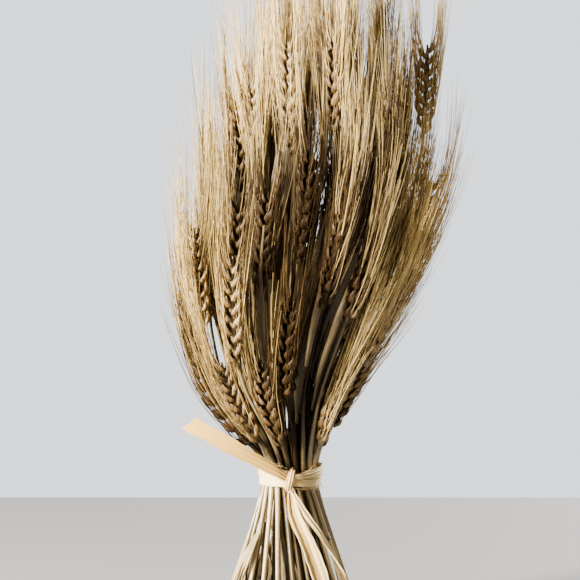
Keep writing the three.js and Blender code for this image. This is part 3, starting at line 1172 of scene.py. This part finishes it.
    def bract_places(self) -> list[Placed]:
        """Sets out the head's scales, in two rows.

        Returns:
            Where every one goes.
        """
        lane, placed = self.lane, []
        for number in range(self.spikelets):
            share = (number + 0.5) / self.spikelets
            size = lerp(self.smallest, 1.0, math.sin(math.pi * share**0.8))
            size = size * lerp(*self.uneven, self.random.random())
            height = lerp(lane.head_base, lane.head_top, (number + 0.35) / (self.spikelets + 0.9))
            side = 1 if number % 2 else -1
            at, along, across, out = (axis[0] for axis in lane.axes(height))
            beside = side * across
            for bract in SPIKELET:
                lean = math.radians(bract.lean + self.random.normal(0, self.sway[0]))
                splay = math.radians(bract.splay + self.random.normal(0, self.sway[1]))
                heading = unit(along + beside * math.tan(lean) + out * math.tan(splay))
                keel = beside * math.sqrt(1 - bract.keel**2) + out * bract.keel
                keel = unit(keel - heading * keel.dot(heading))
                turn = np.stack([np.cross(keel, heading), keel, heading], axis=1)
                root = at + size * (beside * bract.aside + out * bract.outward + along * bract.lift)
                length = bract.length * size * lerp(*self.uneven_scales, self.random.random())
                placed.append((bract, root, turn, length * np.array([bract.width, bract.width, 1.0]), side))
        return placed

    def awn_line(self, root: np.ndarray, heading: np.ndarray, side: int, beard: Span) -> np.ndarray:
        """One awn, which leaves its scale and then bends up with its neighbours.

        Args:
            root: where it starts.
            heading: the way that its scale points.
            side: which row of the head it is in.
            beard: its least and most length.

        Returns:
            Points along it, one a row.
        """
        chance = self.random.random(4)
        length = min(lerp(*beard, chance[0]), self.highest_tip - root[2])
        gone = np.linspace(0, 1, self.awn_points) ** 1.2 * length
        at, _, across, out = self.lane.axes(self.lane.climb(root[2] - TIE_HEIGHT, gone))
        offset = root - at[0]
        lean = side * math.tan(math.radians(lerp(*self.awn_lean, chance[1])))
        splay = math.tan(math.radians(lerp(*self.awn_splay, chance[2])))
        bend = lerp(-self.awn_bend, self.awn_bend, chance[3]) * gone**2
        early = self.awn_settle * (1 - np.exp(-gone / self.awn_settle))
        late = gone - early
        aside = offset.dot(across[0]) + heading.dot(across[0]) * early + lean * late + side * bend
        outward = offset.dot(out[0]) + heading.dot(out[0]) * early + splay * late - bend
        return at + across * aside[:, None] + out * outward[:, None]

    def awn_mesh(self, placed: list[Placed], tints: np.ndarray) -> Mesh:
        """The head's beard.

        Args:
            placed: the head's scales.
            tints: their tints.

        Returns:
            The lines of all its awns.
        """
        first, step = self.awn_roots
        bright_share, brightness = self.bright_awns
        lines, tone = [], []
        for (bract, root, turn, size, side), tint in zip(placed, tints):
            tip = root + turn @ (bract.shape.tip() * size)
            for number in range(bract.awns):
                start = tip - turn[:, 2] * (first + step * number)
                lines.append(self.awn_line(start, turn[:, 2], side, bract.beard))
                bright = brightness if self.random.random() < bright_share else 0.0
                tone.append(self.faded(tint + self.random.normal(bright, self.tones[1]), lines[-1]))
        return line_mesh("awns", lines, np.array(tone), self.awn_radius)

    def build(self, kit: "HeadKit") -> Object:
        """Makes the stalk.

        Args:
            kit: the tree, shapes and finishes that all stalks share.

        Returns:
            The finished piece.
        """
        straw = new_object(f"{self.name}_straw", joined([self.straw_skin(), *self.leaves()]).mesh("straw"))
        placed = self.bract_places()
        tints = self.tint + self.random.normal(0, self.tones[0], len(placed))
        roots = np.array([row[1] for row in placed])
        bracts = bpy.data.meshes.new("bracts")
        bracts.from_pydata((roots * MM).tolist(), [], [])
        put_values(bracts, "part", "INT", [row[0].shape.kind.value for row in placed])
        turns = [tuple(Matrix(row[2].tolist()).to_quaternion()) for row in placed]
        put_values(bracts, "turn", "QUATERNION", turns)
        put_values(bracts, "size", "FLOAT_VECTOR", np.array([row[3] for row in placed]) * MM)
        put_values(bracts, "tint", "FLOAT", self.faded(tints, roots))
        awns = new_object(f"{self.name}_awns", self.awn_mesh(placed, tints))
        piece = new_object(f"wheat_{self.name}", bracts)
        kit.grow(piece, {"Straw": straw, "Awn Lines": awns}, self.lane.index)
        for scrap in (straw, awns):
            bpy.data.objects.remove(scrap)
        return piece


def line_mesh(name: str, lines: list[np.ndarray], tints: np.ndarray, radius: float) -> Mesh:
    """Loose lines that a tree turns into tapered tubes.

    Args:
        name: the mesh's name.
        lines: the points of each line, one array a line, all with as many points.
        tints: one value for each line, or a row of values along each.
        radius: each line's radius at its root.

    Returns:
        A mesh of edges, with the radius, reach, tint and grain on its vertices.
    """
    points = np.array(lines)
    count, steps = points.shape[:2]
    share = np.tile(np.linspace(0, 1, steps), count)
    first = np.arange(count)[:, None] * steps + np.arange(steps - 1)[None, :]
    edges = np.stack([first, first + 1], axis=-1).reshape(-1, 2)
    mesh = bpy.data.meshes.new(name)
    mesh.from_pydata((points.reshape(-1, 3) * MM).tolist(), edges.tolist(), [])
    put_values(mesh, "thickness", "FLOAT", radius * (1 - TUBE_TAPER * share) * MM)
    put_values(mesh, "reach", "FLOAT", share)
    put_values(mesh, "tint", "FLOAT", np.broadcast_to(tints.reshape(count, -1), (count, steps)))
    put_values(mesh, "grain", "FLOAT_VECTOR", share[:, None] * [0.0, 0.0, TUBE_GRAIN])
    return mesh


def new_object(name: str, mesh: Mesh) -> Object:
    """Adds an object at the origin.

    Args:
        name: its name.
        mesh: what it holds.

    Returns:
        The object.
    """
    made = bpy.data.objects.new(name, mesh)
    bpy.context.scene.collection.objects.link(made)
    return made


def grown(piece: Object, tree: NodeTree, values: dict[str, object]) -> None:
    """Runs a tree on a piece and leaves its result as a plain mesh.

    Args:
        piece: the piece.
        tree: the tree.
        values: the tree's inputs by name, which are set by the identifiers of their sockets.
    """
    modifier = piece.modifiers.new("grow", "NODES")
    modifier.node_group = tree
    for item in tree.interface.items_tree:
        if item.in_out == "INPUT" and item.name in values:
            modifier[item.identifier] = values[item.name]
    graph = bpy.context.evaluated_depsgraph_get()
    live = piece.evaluated_get(graph)
    mesh = bpy.data.meshes.new_from_object(live, preserve_all_data_layers=True, depsgraph=graph)
    piece.modifiers.clear()
    old, piece.data = piece.data, mesh
    mesh.name = piece.name
    bpy.data.meshes.remove(old)


@dataclass
class HeadKit:
    """The tree, the scales and the finishes that all stalks share.

    Attributes:
        straw: finish of the straws and leaves.
        husk: finish of the scales.
        awn: finish of the awns.
        ruffle: how far a scale may turn by chance, in radians.
    """

    straw: Material
    husk: Material
    awn: Material
    ruffle: float = 0.05

    def __post_init__(self) -> None:
        """Makes the tree and the scales."""
        self.finishes = {"Straw Finish": self.straw, "Husk Finish": self.husk, "Awn Finish": self.awn}
        self.scales = {}
        for shape in (GLUME, LEMMA):
            scale = new_object(f"scale_{shape.kind.name.lower()}", shape.skin().mesh("scale"))
            scale.data.attributes["tint"].name = "margin"
            self.scales[shape.kind.name.title()] = scale
        self.tree = self.head_tree()

    def head_tree(self) -> NodeTree:
        """Makes the tree that sets scales on their places, draws out the awns and joins them to the straw.

        Returns:
            The tree.
        """
        takes = {"Scale Places": "Geometry", "Ruffle": self.ruffle, "Awn Sides": TUBE_SIDES, "Seed": 0}
        takes.update(dict.fromkeys(("Straw", "Awn Lines", "Glume", "Lemma"), "Object"))
        takes.update(dict.fromkeys(self.finishes, "Material"))
        graph, given, out = new_group("GeometryNodeTree", "wheat_head", takes, {"Stalk": "Geometry"})
        part = graph.attribute("part", "INT")
        least = graph.math("MULTIPLY", given["Ruffle"], -1.0)
        shake = {0: least, 1: given["Ruffle"], 8: given["Seed"]}
        shake = graph.get("FunctionNodeRandomValue", shake, data_type="FLOAT_VECTOR")
        shake = graph.get("FunctionNodeEulerToRotation", {0: shake})
        turn = {0: graph.attribute("turn", "QUATERNION"), 1: shake}
        turn = graph.get("FunctionNodeRotateRotation", turn, rotation_space="LOCAL")
        size = graph.attribute("size", "FLOAT_VECTOR")
        places = {"Points": given["Scale Places"], "Rotation": turn, "Scale": size}
        pieces = []
        for kind in Husk:
            scale = graph.mesh_of(given[kind.name.title()])
            compared = {2: part, 3: kind.value}
            chosen = graph.get("FunctionNodeCompare", compared, data_type="INT", operation="EQUAL")
            placed = {**places, "Selection": chosen, "Instance": scale}
            placed = graph.get("GeometryNodeInstanceOnPoints", placed)
            real = graph.get("GeometryNodeRealizeInstances", {0: placed})
            pieces.append(graph.dressed(real, given["Husk Finish"]))
        awns = graph.mesh_of(given["Awn Lines"])
        pieces.append(graph.tubes(awns, given["Awn Sides"], given["Awn Finish"]))
        pieces.append(graph.dressed(graph.mesh_of(given["Straw"]), given["Straw Finish"]))
        graph.fill(out, {0: graph.joined(pieces)})
        return graph.tree

    def grow(self, piece: Object, parts: dict[str, Object], seed: int) -> None:
        """Turns a piece that holds the scales' places into a whole stalk.

        Args:
            piece: the object with the places.
            parts: the straw and the awns' lines, by the names of the tree's inputs.
            seed: the seed of the scales' ruffle.
        """
        sizes = {"Ruffle": self.ruffle, "Awn Sides": TUBE_SIDES, "Seed": seed}
        grown(piece, self.tree, {**parts, **self.scales, **self.finishes, **sizes})

    def clear(self) -> None:
        """Removes the loose scales."""
        for scale in self.scales.values():
            bpy.data.objects.remove(scale)


# Raffia and leaves


@dataclass(frozen=True)
class Ribbon:
    """A strip of raffia along a route, or a dry leaf.

    Attributes:
        name: the piece's name.
        route: points of its middle line, in millimetres, z from the middle of the tie.
        width: its width at even steps along it.
        pleats: how many pleats lie side by side.
        pleat_depth: their depth at even steps along the strip.
        fold: how far its middle stands up, at even steps along the strip.
        crease: where the fold runs across the strip, from -1 to 1, at its start and at its end.
        twist: turn about its own line at even steps, in degrees.
        cut: how far one corner of its far end reaches beyond the other.
        tone: its tint at even steps along it, from 0 to 1.
        valley: how much darker the strip is painted along its fold, as painted shade in the crease.
        frays: rows of where along the strip and on which edge fibres come loose, and how many.
        seed: seed of its unevenness.
        thickness: its thickness.
        steps: how many points it has along it.
        columns: how many points it has across it.
        finer_pleats: rows of depth, fineness and drift of the smaller pleats.
        ragged: rows of how far its edges stray, as a share of its width, and over which length.
        drift: how far its pleats stray aside, and over which length.
        curl: how far its edges curl, and over which length.
        fibre_radius: radius of its loose fibres.
        fibre_length: least and most length of them.
    """

    name: str
    route: tuple[tuple[float, float, float], ...] = ()
    width: Values = ()
    pleats: float = 3.0
    pleat_depth: Values = (0.8, 0.2)
    fold: Values = (0.3, 0.6)
    crease: Span = (0.0, 0.0)
    twist: Values = (0.0, 0.0)
    cut: float = 0.0
    tone: Values = (0.7, 0.9)
    valley: float = 0.1
    frays: tuple[tuple[float, int, int], ...] = ()
    seed: int = 1
    thickness: float = 0.3
    steps: int = 90
    columns: int = 22
    finer_pleats: tuple[tuple[float, float, float], ...] = ((0.5, 2.3, 19.0), (0.35, 4.1, -11.0))
    ragged: tuple[Span, ...] = ((0.04, 5.3), (0.03, 1.7))
    drift: Span = (0.25, 23.0)
    curl: Span = (0.35, 14.0)
    fibre_radius: float = 0.13
    fibre_length: Span = (3.0, 9.0)

    def along(self, values: Values) -> np.ndarray:
        """Values given at even steps, at every step of the strip, one a row."""
        return np.interp(np.linspace(0, 1, self.steps), np.linspace(0, 1, len(values)), values)[:, None]

    def frame(self) -> tuple[np.ndarray, np.ndarray, np.ndarray, np.ndarray]:
        """The strip's own axes.

        Returns:
            Its middle line, and at its points the ways along, aside and out of its face.
        """
        centre = smooth_route(np.array(self.route, float) + [0, 0, TIE_HEIGHT], self.steps)
        along = unit(np.gradient(centre, axis=0))
        aside = unit(np.cross(along, centre * [1, 1, 0]))
        face = np.cross(aside, along)
        turn = np.radians(self.along(self.twist))
        cos, sin = np.cos(turn), np.sin(turn)
        return centre, along, aside * cos + face * sin, face * cos - aside * sin

    def skin(self) -> Skin:
        """The strip's skin: two faces a thickness apart, closed at its edges and ends.

        Returns:
            Its skin.
        """
        phases = np.random.default_rng(self.seed).random(8) * 2 * math.pi
        centre, along, aside, face = self.frame()
        gone = np.concatenate([[0.0], np.cumsum(np.linalg.norm(np.diff(centre, axis=0), axis=1))])[:, None]
        share = np.linspace(0, 1, self.steps)[:, None]
        x = np.linspace(-1, 1, self.columns)[None, :]
        ragged = sum(far * np.sin(gone / length + phase) for (far, length), phase in zip(self.ragged, phases))
        width = self.along(self.width) * (1 + ragged)
        drift = x + self.drift[0] * np.sin(gone / self.drift[1] + phases[2])
        wave = np.cos(math.pi * self.pleats * drift + phases[3])
        for (depth, fineness, length), phase in zip(self.finer_pleats, phases[4:]):
            wave = wave + depth * np.cos(math.pi * self.pleats * fineness * x + phase + gone / length)
        crease = self.along(self.crease)
        from_crease = np.abs(x - crease) / (1 + np.abs(crease))
        curl = self.curl[0] * x**4 * np.sin(gone / self.curl[1] + phases[6])
        ridge = self.along(self.fold) * (1 - from_crease)
        height = 0.5 * self.along(self.pleat_depth) * wave + ridge + curl
        beyond = 0.5 * self.cut * x * share**12
        middle = centre[:, None] + aside[:, None] * (x * width / 2)[..., None]
        middle = middle + along[:, None] * beyond[..., None]
        sides = (self.thickness / 2, -self.thickness / 2)
        front, rear = (middle + face[:, None] * (height + side)[..., None] for side in sides)
        rings = np.concatenate([front, rear[:, ::-1]], axis=1)
        both = np.concatenate([x, x[:, ::-1]], axis=1)
        grain = np.stack(np.broadcast_arrays(both * width / 2, float(self.seed), gone), axis=-1)
        # Painted shade: the pleats' hollows are darker and their crests paler, and the fold is darker by the
        # valley.
        tone = self.along(self.tone) + 0.10 * wave - self.valley * hump(from_crease, 0.0, 0.3)
        tone = np.clip(np.concatenate([tone, tone[:, ::-1]], axis=1), 0, 1).ravel()
        reach = np.repeat(share, 2 * self.columns)
        return Skin(rings.reshape(-1, 3), lofted(rings), grain.reshape(-1, 3), reach, tone)

    def fray_lines(self) -> tuple[list[np.ndarray], np.ndarray]:
        """Loose fibres at the strip's edges.

        Returns:
            Their points, one array a fibre, and their tints.
        """
        random = np.random.default_rng(self.seed + 500)
        centre, along, aside, face = self.frame()
        width = self.along(self.width)[:, 0]
        lines = []
        for place, edge, count in self.frays:
            for _ in range(count):
                step = int(np.clip((place + random.normal(0, 0.035)) * (self.steps - 1), 1, self.steps - 2))
                gone = np.linspace(0, random.uniform(*self.fibre_length), 6)[:, None]
                start = centre[step] + aside[step] * edge * (width[step] / 2 - 0.3)
                away = edge * random.uniform(0.12, 0.5)
                side = gone * away + edge * random.uniform(-0.03, 0.05) * gone**2
                way = along[step] * random.choice((-1, 1))
                lift = gone * random.uniform(0.0, 0.25)
                lines.append(start + way * gone + aside[step] * side + face[step] * lift)
        return lines, random.uniform(0.4, 1.0, len(lines))

    def build(
        self, finish: Material, tree: NodeTree, stray: list[np.ndarray] | None = None
    ) -> Object:
        """Makes the strip as a piece.

        Args:
            finish: its finish.
            tree: the tree that draws out its loose fibres.
            stray: more loose fibres that belong to it.

        Returns:
            The finished piece.
        """
        piece = new_object(self.name, self.skin().mesh(self.name))
        piece.data.materials.append(finish)
        lines, tints = self.fray_lines()
        if stray:
            lines, tints = lines + stray, np.concatenate([tints, np.full(len(stray), 0.5)])
        if lines:
            loose = new_object(f"{self.name}_fibres", line_mesh("fibres", lines, tints, self.fibre_radius))
            grown(piece, tree, {"Fibre Lines": loose, "Fibre Sides": TUBE_SIDES, "Finish": finish})
            bpy.data.objects.remove(loose)
        return piece


def fray_tree() -> NodeTree:
    """Makes the tree that draws loose fibres out as tubes and joins them to their strip.

    Returns:
        The tree.
    """
    takes = {"Strip": "Geometry", "Fibre Lines": "Object", "Fibre Sides": TUBE_SIDES, "Finish": "Material"}
    graph, given, out = new_group("GeometryNodeTree", "frayed_strip", takes, {"Frayed": "Geometry"})
    tubes = graph.tubes(graph.mesh_of(given["Fibre Lines"]), given["Fibre Sides"], given["Finish"])
    graph.fill(out, {0: graph.joined([tubes, given["Strip"]])})
    return graph.tree


@dataclass
class RaffiaTie:
    """The raffia wound round the waist, its knot and its tails.

    Attributes:
        inside: radius of the stems' outline that the turns lie on.
        turn_points: how many points a turn's route has.
        uneven: how far a turn's route strays from round.
        stray: how many fibres came off the turns.
        stray_start: where such a fibre starts, in degrees.
        stray_end: where it ends.
        stray_height: height of its ends.
        stray_sag: how far it hangs below them.
    """

    inside: float = 19.75
    turn_points: int = 49
    uneven: float = 0.12
    stray: int = 6
    stray_start: Span = (-92.0, -84.0)
    stray_end: Span = (-35.0, -5.0)
    stray_height: float = -6.4
    stray_sag: Span = (0.4, 2.6)

    def turn_route(self, heights: Values, out: Values) -> tuple:
        """The route of one turn round the waist, from the knot by the right and the back.

        Args:
            heights: height at even steps round.
            out: how far it stands off the stems at even steps round.

        Returns:
            Points, z from the middle of the tie.
        """
        share = np.linspace(0, 1, self.turn_points)
        angle = -math.pi / 2 + 2 * math.pi * share
        z, off = (np.interp(share, np.linspace(0, 1, len(row)), row) for row in (heights, out))
        radius = self.inside + off + self.uneven * np.sin(5 * angle)
        return tuple(zip(radius * np.cos(angle), radius * np.sin(angle), z))

    def ribbons(self) -> list[Ribbon]:
        """The tie's strips.

        Returns:
            All of them, from the lower turn to the knot.
        """
        low = (-3.2, -4.0, -2.8, -2.6, -2.2, -2.0, -1.8, -1.6, -1.4)
        low = self.turn_route(low, (1.5, 0.4, 0.4, 0.4, 0.5))
        high = (0.6, 2.3, 3.2, 3.0, 2.6, 2.6, 2.8, 2.4, 1.6)
        high = self.turn_route(high, (2.4, 1.2, 1.2, 1.2, 1.3))
        # The tones along the strips are partly the raffia's own colour and partly painted light: parts in
        # shade, on the turns' right and on the narrow tail, are given paler tones.
        return [
            Ribbon(
                "raffia_lower_turn", low, (3.4, 5.2, 6.4, 7.0, 7.4, 8.0, 8.4, 8.8, 8.8),
                pleats=4, pleat_depth=(0.8, 0.5, 0.5, 0.4, 0.3, 0.3), fold=(0.2, 0.1, 0.1, 0.1),
                tone=(0.9, 0.9, 0.9, 0.9, 0.9, 1.0, 1.0), valley=0.0, seed=11, steps=170,
                frays=((0.06, 1, 5), (0.12, 1, 7), (0.18, 1, 6), (0.23, 1, 4), (0.45, 1, 3), (0.7, 1, 3)),
            ),
            Ribbon(
                "raffia_upper_turn", high, (3.2, 6.2, 7.2, 7.0, 6.4, 6.0, 6.2, 5.8, 4.8),
                pleats=3, pleat_depth=(1.1, 0.7, 0.5, 0.4, 0.3, 0.3), fold=(0.5, 0.4, 0.2, 0.2),
                crease=(0.6, -0.3), tone=(0.95, 1.0, 1.0, 0.9, 0.9, 1.0, 0.95), valley=0.3, seed=12,
                steps=170, frays=((0.1, -1, 3), (0.2, -1, 4), (0.77, -1, 4), (0.83, -1, 4)),
            ),
            Ribbon(
                "raffia_tail_left",
                (
                    (-0.5, -25, -0.6), (-9, -29, 5.6), (-20, -33, 12.6),
                    (-36, -37, 22.4), (-52, -37, 31.2), (-65, -35, 38),
                ),
                (4.4, 6.2, 8.0, 9.4, 10.2, 10.6, 10.6),
                pleats=3, pleat_depth=(1.3, 0.9, 0.35, 0.2, 0.2), fold=(0.8, 0.9, 0.7, 0.5, 0.5),
                crease=(0.2, 0.5), twist=(-8, -14, -24, -30, -33), cut=-5.0, tone=(0.25, 0.1, 0.0, 0.0, 0.05),
                valley=0.22, seed=13, frays=((0.16, 1, 5), (0.24, 1, 6), (0.3, 1, 3), (0.95, -1, 4)),
            ),
            Ribbon(
                "raffia_tail_narrow",
                (
                    (0.5, -26, -6), (9, -29, -20), (20, -30, -36),
                    (32, -29, -57), (39, -30, -72), (42, -32, -86),
                ),
                (3.0, 4.2, 4.4, 4.2, 4.0, 2.6, 3.4, 4.2),
                pleats=2, pleat_depth=(0.9, 0.5, 0.4), fold=(0.5, 0.6, 0.5), crease=(0.3, -0.2),
                twist=(0, 4, 10, 18, 60, 170, 190, 195), cut=3.0, tone=(0.8, 0.9, 0.95, 1.0, 0.9),
                valley=0.3, seed=14, frays=((0.85, 1, 3),),
            ),
            Ribbon(
                "raffia_tail_front",
                ((-0.5, -25.5, -6), (2.2, -31, -20), (12.5, -36, -42), (22, -42, -68), (28, -47, -92)),
                (3.4, 7.4, 9.0, 10.4, 11.2, 11.2, 10.8),
                pleats=3, pleat_depth=(1.2, 0.6, 0.4, 0.3), fold=(-1.4, -2.6, -1.8, -1.2, -0.8),
                crease=(-0.1, 0.45), twist=(0, 8, 4, 0), cut=4.0, tone=(0.65, 0.75, 0.85, 0.9),
                valley=0.75, seed=15, frays=((0.93, 1, 3),),
            ),
            Ribbon(
                "raffia_knot_wrap",
                (
                    (2.2, -21.6, 6.0), (1.6, -25.6, 5.2), (0.3, -27.6, 0.2),
                    (-0.9, -27.0, -5.4), (-0.8, -24.0, -7.6),
                ),
                (3.4, 4.6, 5.4, 4.6, 3.2),
                pleats=3, pleat_depth=(0.9, 0.9), fold=(0.7, 1.1, 1.3, 1.0), crease=(-0.3, 0.3),
                tone=(0.7, 0.8, 0.7), valley=0.35, seed=16, steps=50,
            ),
            Ribbon(
                "raffia_knot_cross",
                (
                    (-6.0, -22.4, 0.6), (-4.0, -25.0, -1.6), (-1.6, -26.6, -4.4),
                    (1.2, -26.6, -7.2), (2.6, -24.6, -8.8),
                ),
                (3.0, 4.2, 4.6, 4.0, 3.0),
                pleats=3, pleat_depth=(0.8, 0.8), fold=(0.7, 1.0, 0.8), crease=(0.2, -0.2),
                tone=(0.8, 0.7, 0.65), valley=0.3, seed=17, steps=40,
            ),
        ]

    def stray_fibres(self) -> list[np.ndarray]:
        """Fibres that came off the turns and lie under them on the right.

        Returns:
            The points of each, one array a fibre.
        """
        random = np.random.default_rng(77)
        share = np.linspace(0, 1, 6)
        lines = []
        for _ in range(self.stray):
            end, start = (math.radians(random.uniform(*span)) for span in (self.stray_end, self.stray_start))
            angle = np.linspace(start, end, len(share))
            radius = self.inside + 0.9 + random.uniform(0.0, 0.8) + 0.8 * np.sin(math.pi * share)
            sag = random.uniform(*self.stray_sag) * np.sin(math.pi * share * random.uniform(0.6, 1.0))
            z = self.stray_height - sag
            lines.append(np.stack([radius * np.cos(angle), radius * np.sin(angle), TIE_HEIGHT + z], axis=-1))
        return lines

    def build(self, finish: Material, tree: NodeTree) -> list[Object]:
        """Makes the tie.

        Args:
            finish: the raffia's finish.
            tree: the tree that draws out loose fibres.

        Returns:
            Its strips as pieces.
        """
        lowest, *others = self.ribbons()
        lowest = lowest.build(finish, tree, self.stray_fibres())
        return [lowest, *(strip.build(finish, tree) for strip in others)]


# Dark dry leaves inside the sheaf; besides being leaves, they fill its gaps with painted shade.
BLADE = Ribbon(
    "blade", pleats=3, pleat_depth=(0.5, 0.9), fold=(0.8, 1.8), tone=(0.12, 0.06, 0.2), valley=0.1,
    steps=26, columns=6,
)
HANGING_LEAF = Ribbon(
    "dry_leaf", width=(2.0, 5.0, 7.5, 7.0, 4.5), pleats=4, pleat_depth=(0.6, 1.2), fold=(0.4, 1.6),
    twist=(0, 10, 35, 60), tone=(0.9, 1.0, 0.8), valley=0.2, cut=6.0, seed=21, steps=50,
)


@dataclass
class HangingLeaf:
    """The dry leaf that still hangs from an outer stalk, as in the part's source.

    Attributes:
        stalk: the stalk's number, from 1.
        root: height at which it leaves the stalk.
        drop: how far down it hangs.
        slope: how far it stands off, against its drop.
        bow: four times how far its middle stands off beyond that.
    """

    stalk: int = 38
    root: float = -34.0
    drop: float = 36.0
    slope: float = 0.62
    bow: float = 4.3

    def ribbon(self, lane: Lane) -> Ribbon:
        """Lays the leaf.

        Args:
            lane: where its stalk runs.

        Returns:
            The leaf as a strip.
        """
        root = lane.at(np.array([self.root]))[0]
        outward = unit(root * [1, 1, 0])
        points = []
        for share in (0, 0.35, 0.7, 1):
            away = self.drop * self.slope * share + self.bow * share * (1 - share)
            point = root + outward * away
            points.append((point[0], point[1], root[2] - self.drop * share - TIE_HEIGHT))
        return replace(HANGING_LEAF, route=tuple(points))


# Stage


@dataclass(frozen=True)
class Lamp:
    """A square soft light.

    Attributes:
        name: its name.
        at: where it is, in metres.
        to: what it faces.
        size: its side.
        power: its power.
        colour: its colour.
    """

    name: str
    at: tuple[float, float, float]
    to: tuple[float, float, float]
    size: float
    power: float
    colour: Colour

    def build(self) -> None:
        """Adds the light."""
        lamp = bpy.data.lights.new(self.name, "AREA")
        lamp.size, lamp.energy, lamp.color = self.size, self.power, self.colour
        made = bpy.data.objects.new(self.name, lamp)
        made.location = self.at
        made.rotation_euler = (Vector(self.to) - Vector(self.at)).to_track_quat("-Z", "Y").to_euler()
        bpy.context.scene.collection.objects.link(made)


@dataclass(frozen=True)
class Studio:
    """The floor, the light and the camera, in metres.

    Attributes:
        scale: metres a pixel at the tie.
        pixels: the picture's side.
        distance: from the camera to the sheaf's axis.
        elevation: the camera's height above level, in degrees.
        frame_middle: height of the frame's middle at the sheaf's axis.
        floor_reach: how far the floor reaches to the sides and the front.
        floor_back: how far it reaches behind.
        floor_colour: its colour.
        floor_rough: its roughness.
        sky_colour: the background's colour.
        sky_light: how strongly it lights the sheaf, and how bright it looks.
        sensor: the camera's sensor, in millimetres.
        lamps: the lights.
    """

    scale: float = 0.00066
    pixels: int = 580
    distance: float = 1.25
    elevation: float = 3.0
    frame_middle: float = 0.2291
    floor_reach: float = 1.6
    floor_back: float = 0.56
    floor_colour: Colour = (0.24, 0.24, 0.25)
    floor_rough: float = 0.7
    sky_colour: Colour = (0.47, 0.485, 0.505)
    sky_light: Span = (0.03, 3.6)
    sensor: float = 36.0
    lamps: tuple[Lamp, ...] = (
        Lamp("key", (-1.28, -0.92, 0.62), (0.02, 0, 0.24), 0.3, 270.0, (1.0, 0.94, 0.84)),
        Lamp("fill", (1.3, -0.9, 0.6), (0.02, 0, 0.22), 0.9, 3.0, (1.0, 0.97, 0.93)),
        Lamp("rim", (0.95, 1.1, 0.9), (0.02, 0, 0.26), 0.7, 75.0, (1.0, 0.97, 0.92)),
    )

    def build(self) -> None:
        """Makes the stage."""
        self.floor()
        for lamp in self.lamps:
            lamp.build()
        self.sky()
        self.camera()

    def floor(self) -> None:
        """Lays a plain, pale floor."""
        mesh = bpy.data.meshes.new("floor")
        side, back = self.floor_reach, self.floor_back
        corners = [(-side, -side, 0), (side, -side, 0), (side, back, 0), (-side, back, 0)]
        mesh.from_pydata(corners, [], [[0, 1, 2, 3]])
        paint = bpy.data.materials.new("floor")
        paint.use_nodes = True
        dress = {"Base Color": (*self.floor_colour, 1), "Roughness": self.floor_rough}
        Graph(paint.node_tree).fill(paint.node_tree.nodes["Principled BSDF"], dress)
        mesh.materials.append(paint)
        new_object("floor", mesh)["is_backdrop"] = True

    def sky(self) -> None:
        """Sets a pale grey background that lights the sheaf a little."""
        world = bpy.data.worlds.new("studio")
        bpy.context.scene.world = world
        world.use_nodes = True
        graph = Graph(world.node_tree)
        seen = graph.add("ShaderNodeLightPath").outputs["Is Camera Ray"]
        shade = {"Color": (*self.sky_colour, 1), "Strength": graph.spread(seen, 0.0, 1.0, *self.sky_light)}
        graph.fill(world.node_tree.nodes["Background"], shade)

    def camera(self) -> None:
        """Sets the camera at the photo's viewing angle."""
        data = bpy.data.cameras.new("camera")
        data.sensor_width = self.sensor
        data.lens = self.sensor * self.distance / (self.scale * self.pixels)
        made = bpy.data.objects.new("camera", data)
        tilt = math.radians(self.elevation)
        target = Vector((0, 0, self.frame_middle))
        made.location = target + self.distance * Vector((0, -math.cos(tilt), math.sin(tilt)))
        made.rotation_euler = (target - made.location).to_track_quat("-Z", "Y").to_euler()
        bpy.context.scene.collection.objects.link(made)
        bpy.context.scene.camera = made


def seat(piece: Object, slot: Slot, *nodes: str) -> None:
    """Fixes a piece to the sheaf's body, in place of its CAD nodes.

    Args:
        piece: the piece.
        slot: its material slot, which is not used.
        *nodes: the CAD nodes that it replaces.
    """
    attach(piece, BODY)
    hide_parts(*nodes)
    LOG.info("%s: %d faces, for %s", piece.name, len(piece.data.polygons), ", ".join(nodes))


def main() -> None:
    """Builds the sheaf, piece by piece, and its stage."""
    fibres, weather = fibre_group(), weather_group()
    straw, husk, awn, raffia = (finish.build(fibres, weather) for finish in (STRAW, HUSK, AWN, RAFFIA))
    kit, frayed, sun = HeadKit(straw, husk, awn), fray_tree(), Sun()
    stalks = [WheatStalk(lane, sun) for lane in lay_lanes(Spread())]
    for stalk in stalks:
        seat(stalk.build(kit), Slot.STRAW, stalk.name)
    kit.clear()
    leaf = HangingLeaf()
    bearer = stalks[leaf.stalk - 1]
    seat(leaf.ribbon(bearer.lane).build(straw, frayed), Slot.STRAW, bearer.name)
    for strip in RaffiaTie().build(raffia, frayed):
        seat(strip, Slot.RAFFIA, "raffia_tie")
    Studio().build()
    total = sum(len(face.vertices) - 2 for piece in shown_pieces() for face in piece.data.polygons)
    LOG.info("%d triangles in all", total)


if __name__ == "__main__":
    logging.basicConfig(level=logging.INFO, format="%(name)s: %(message)s")
    main()
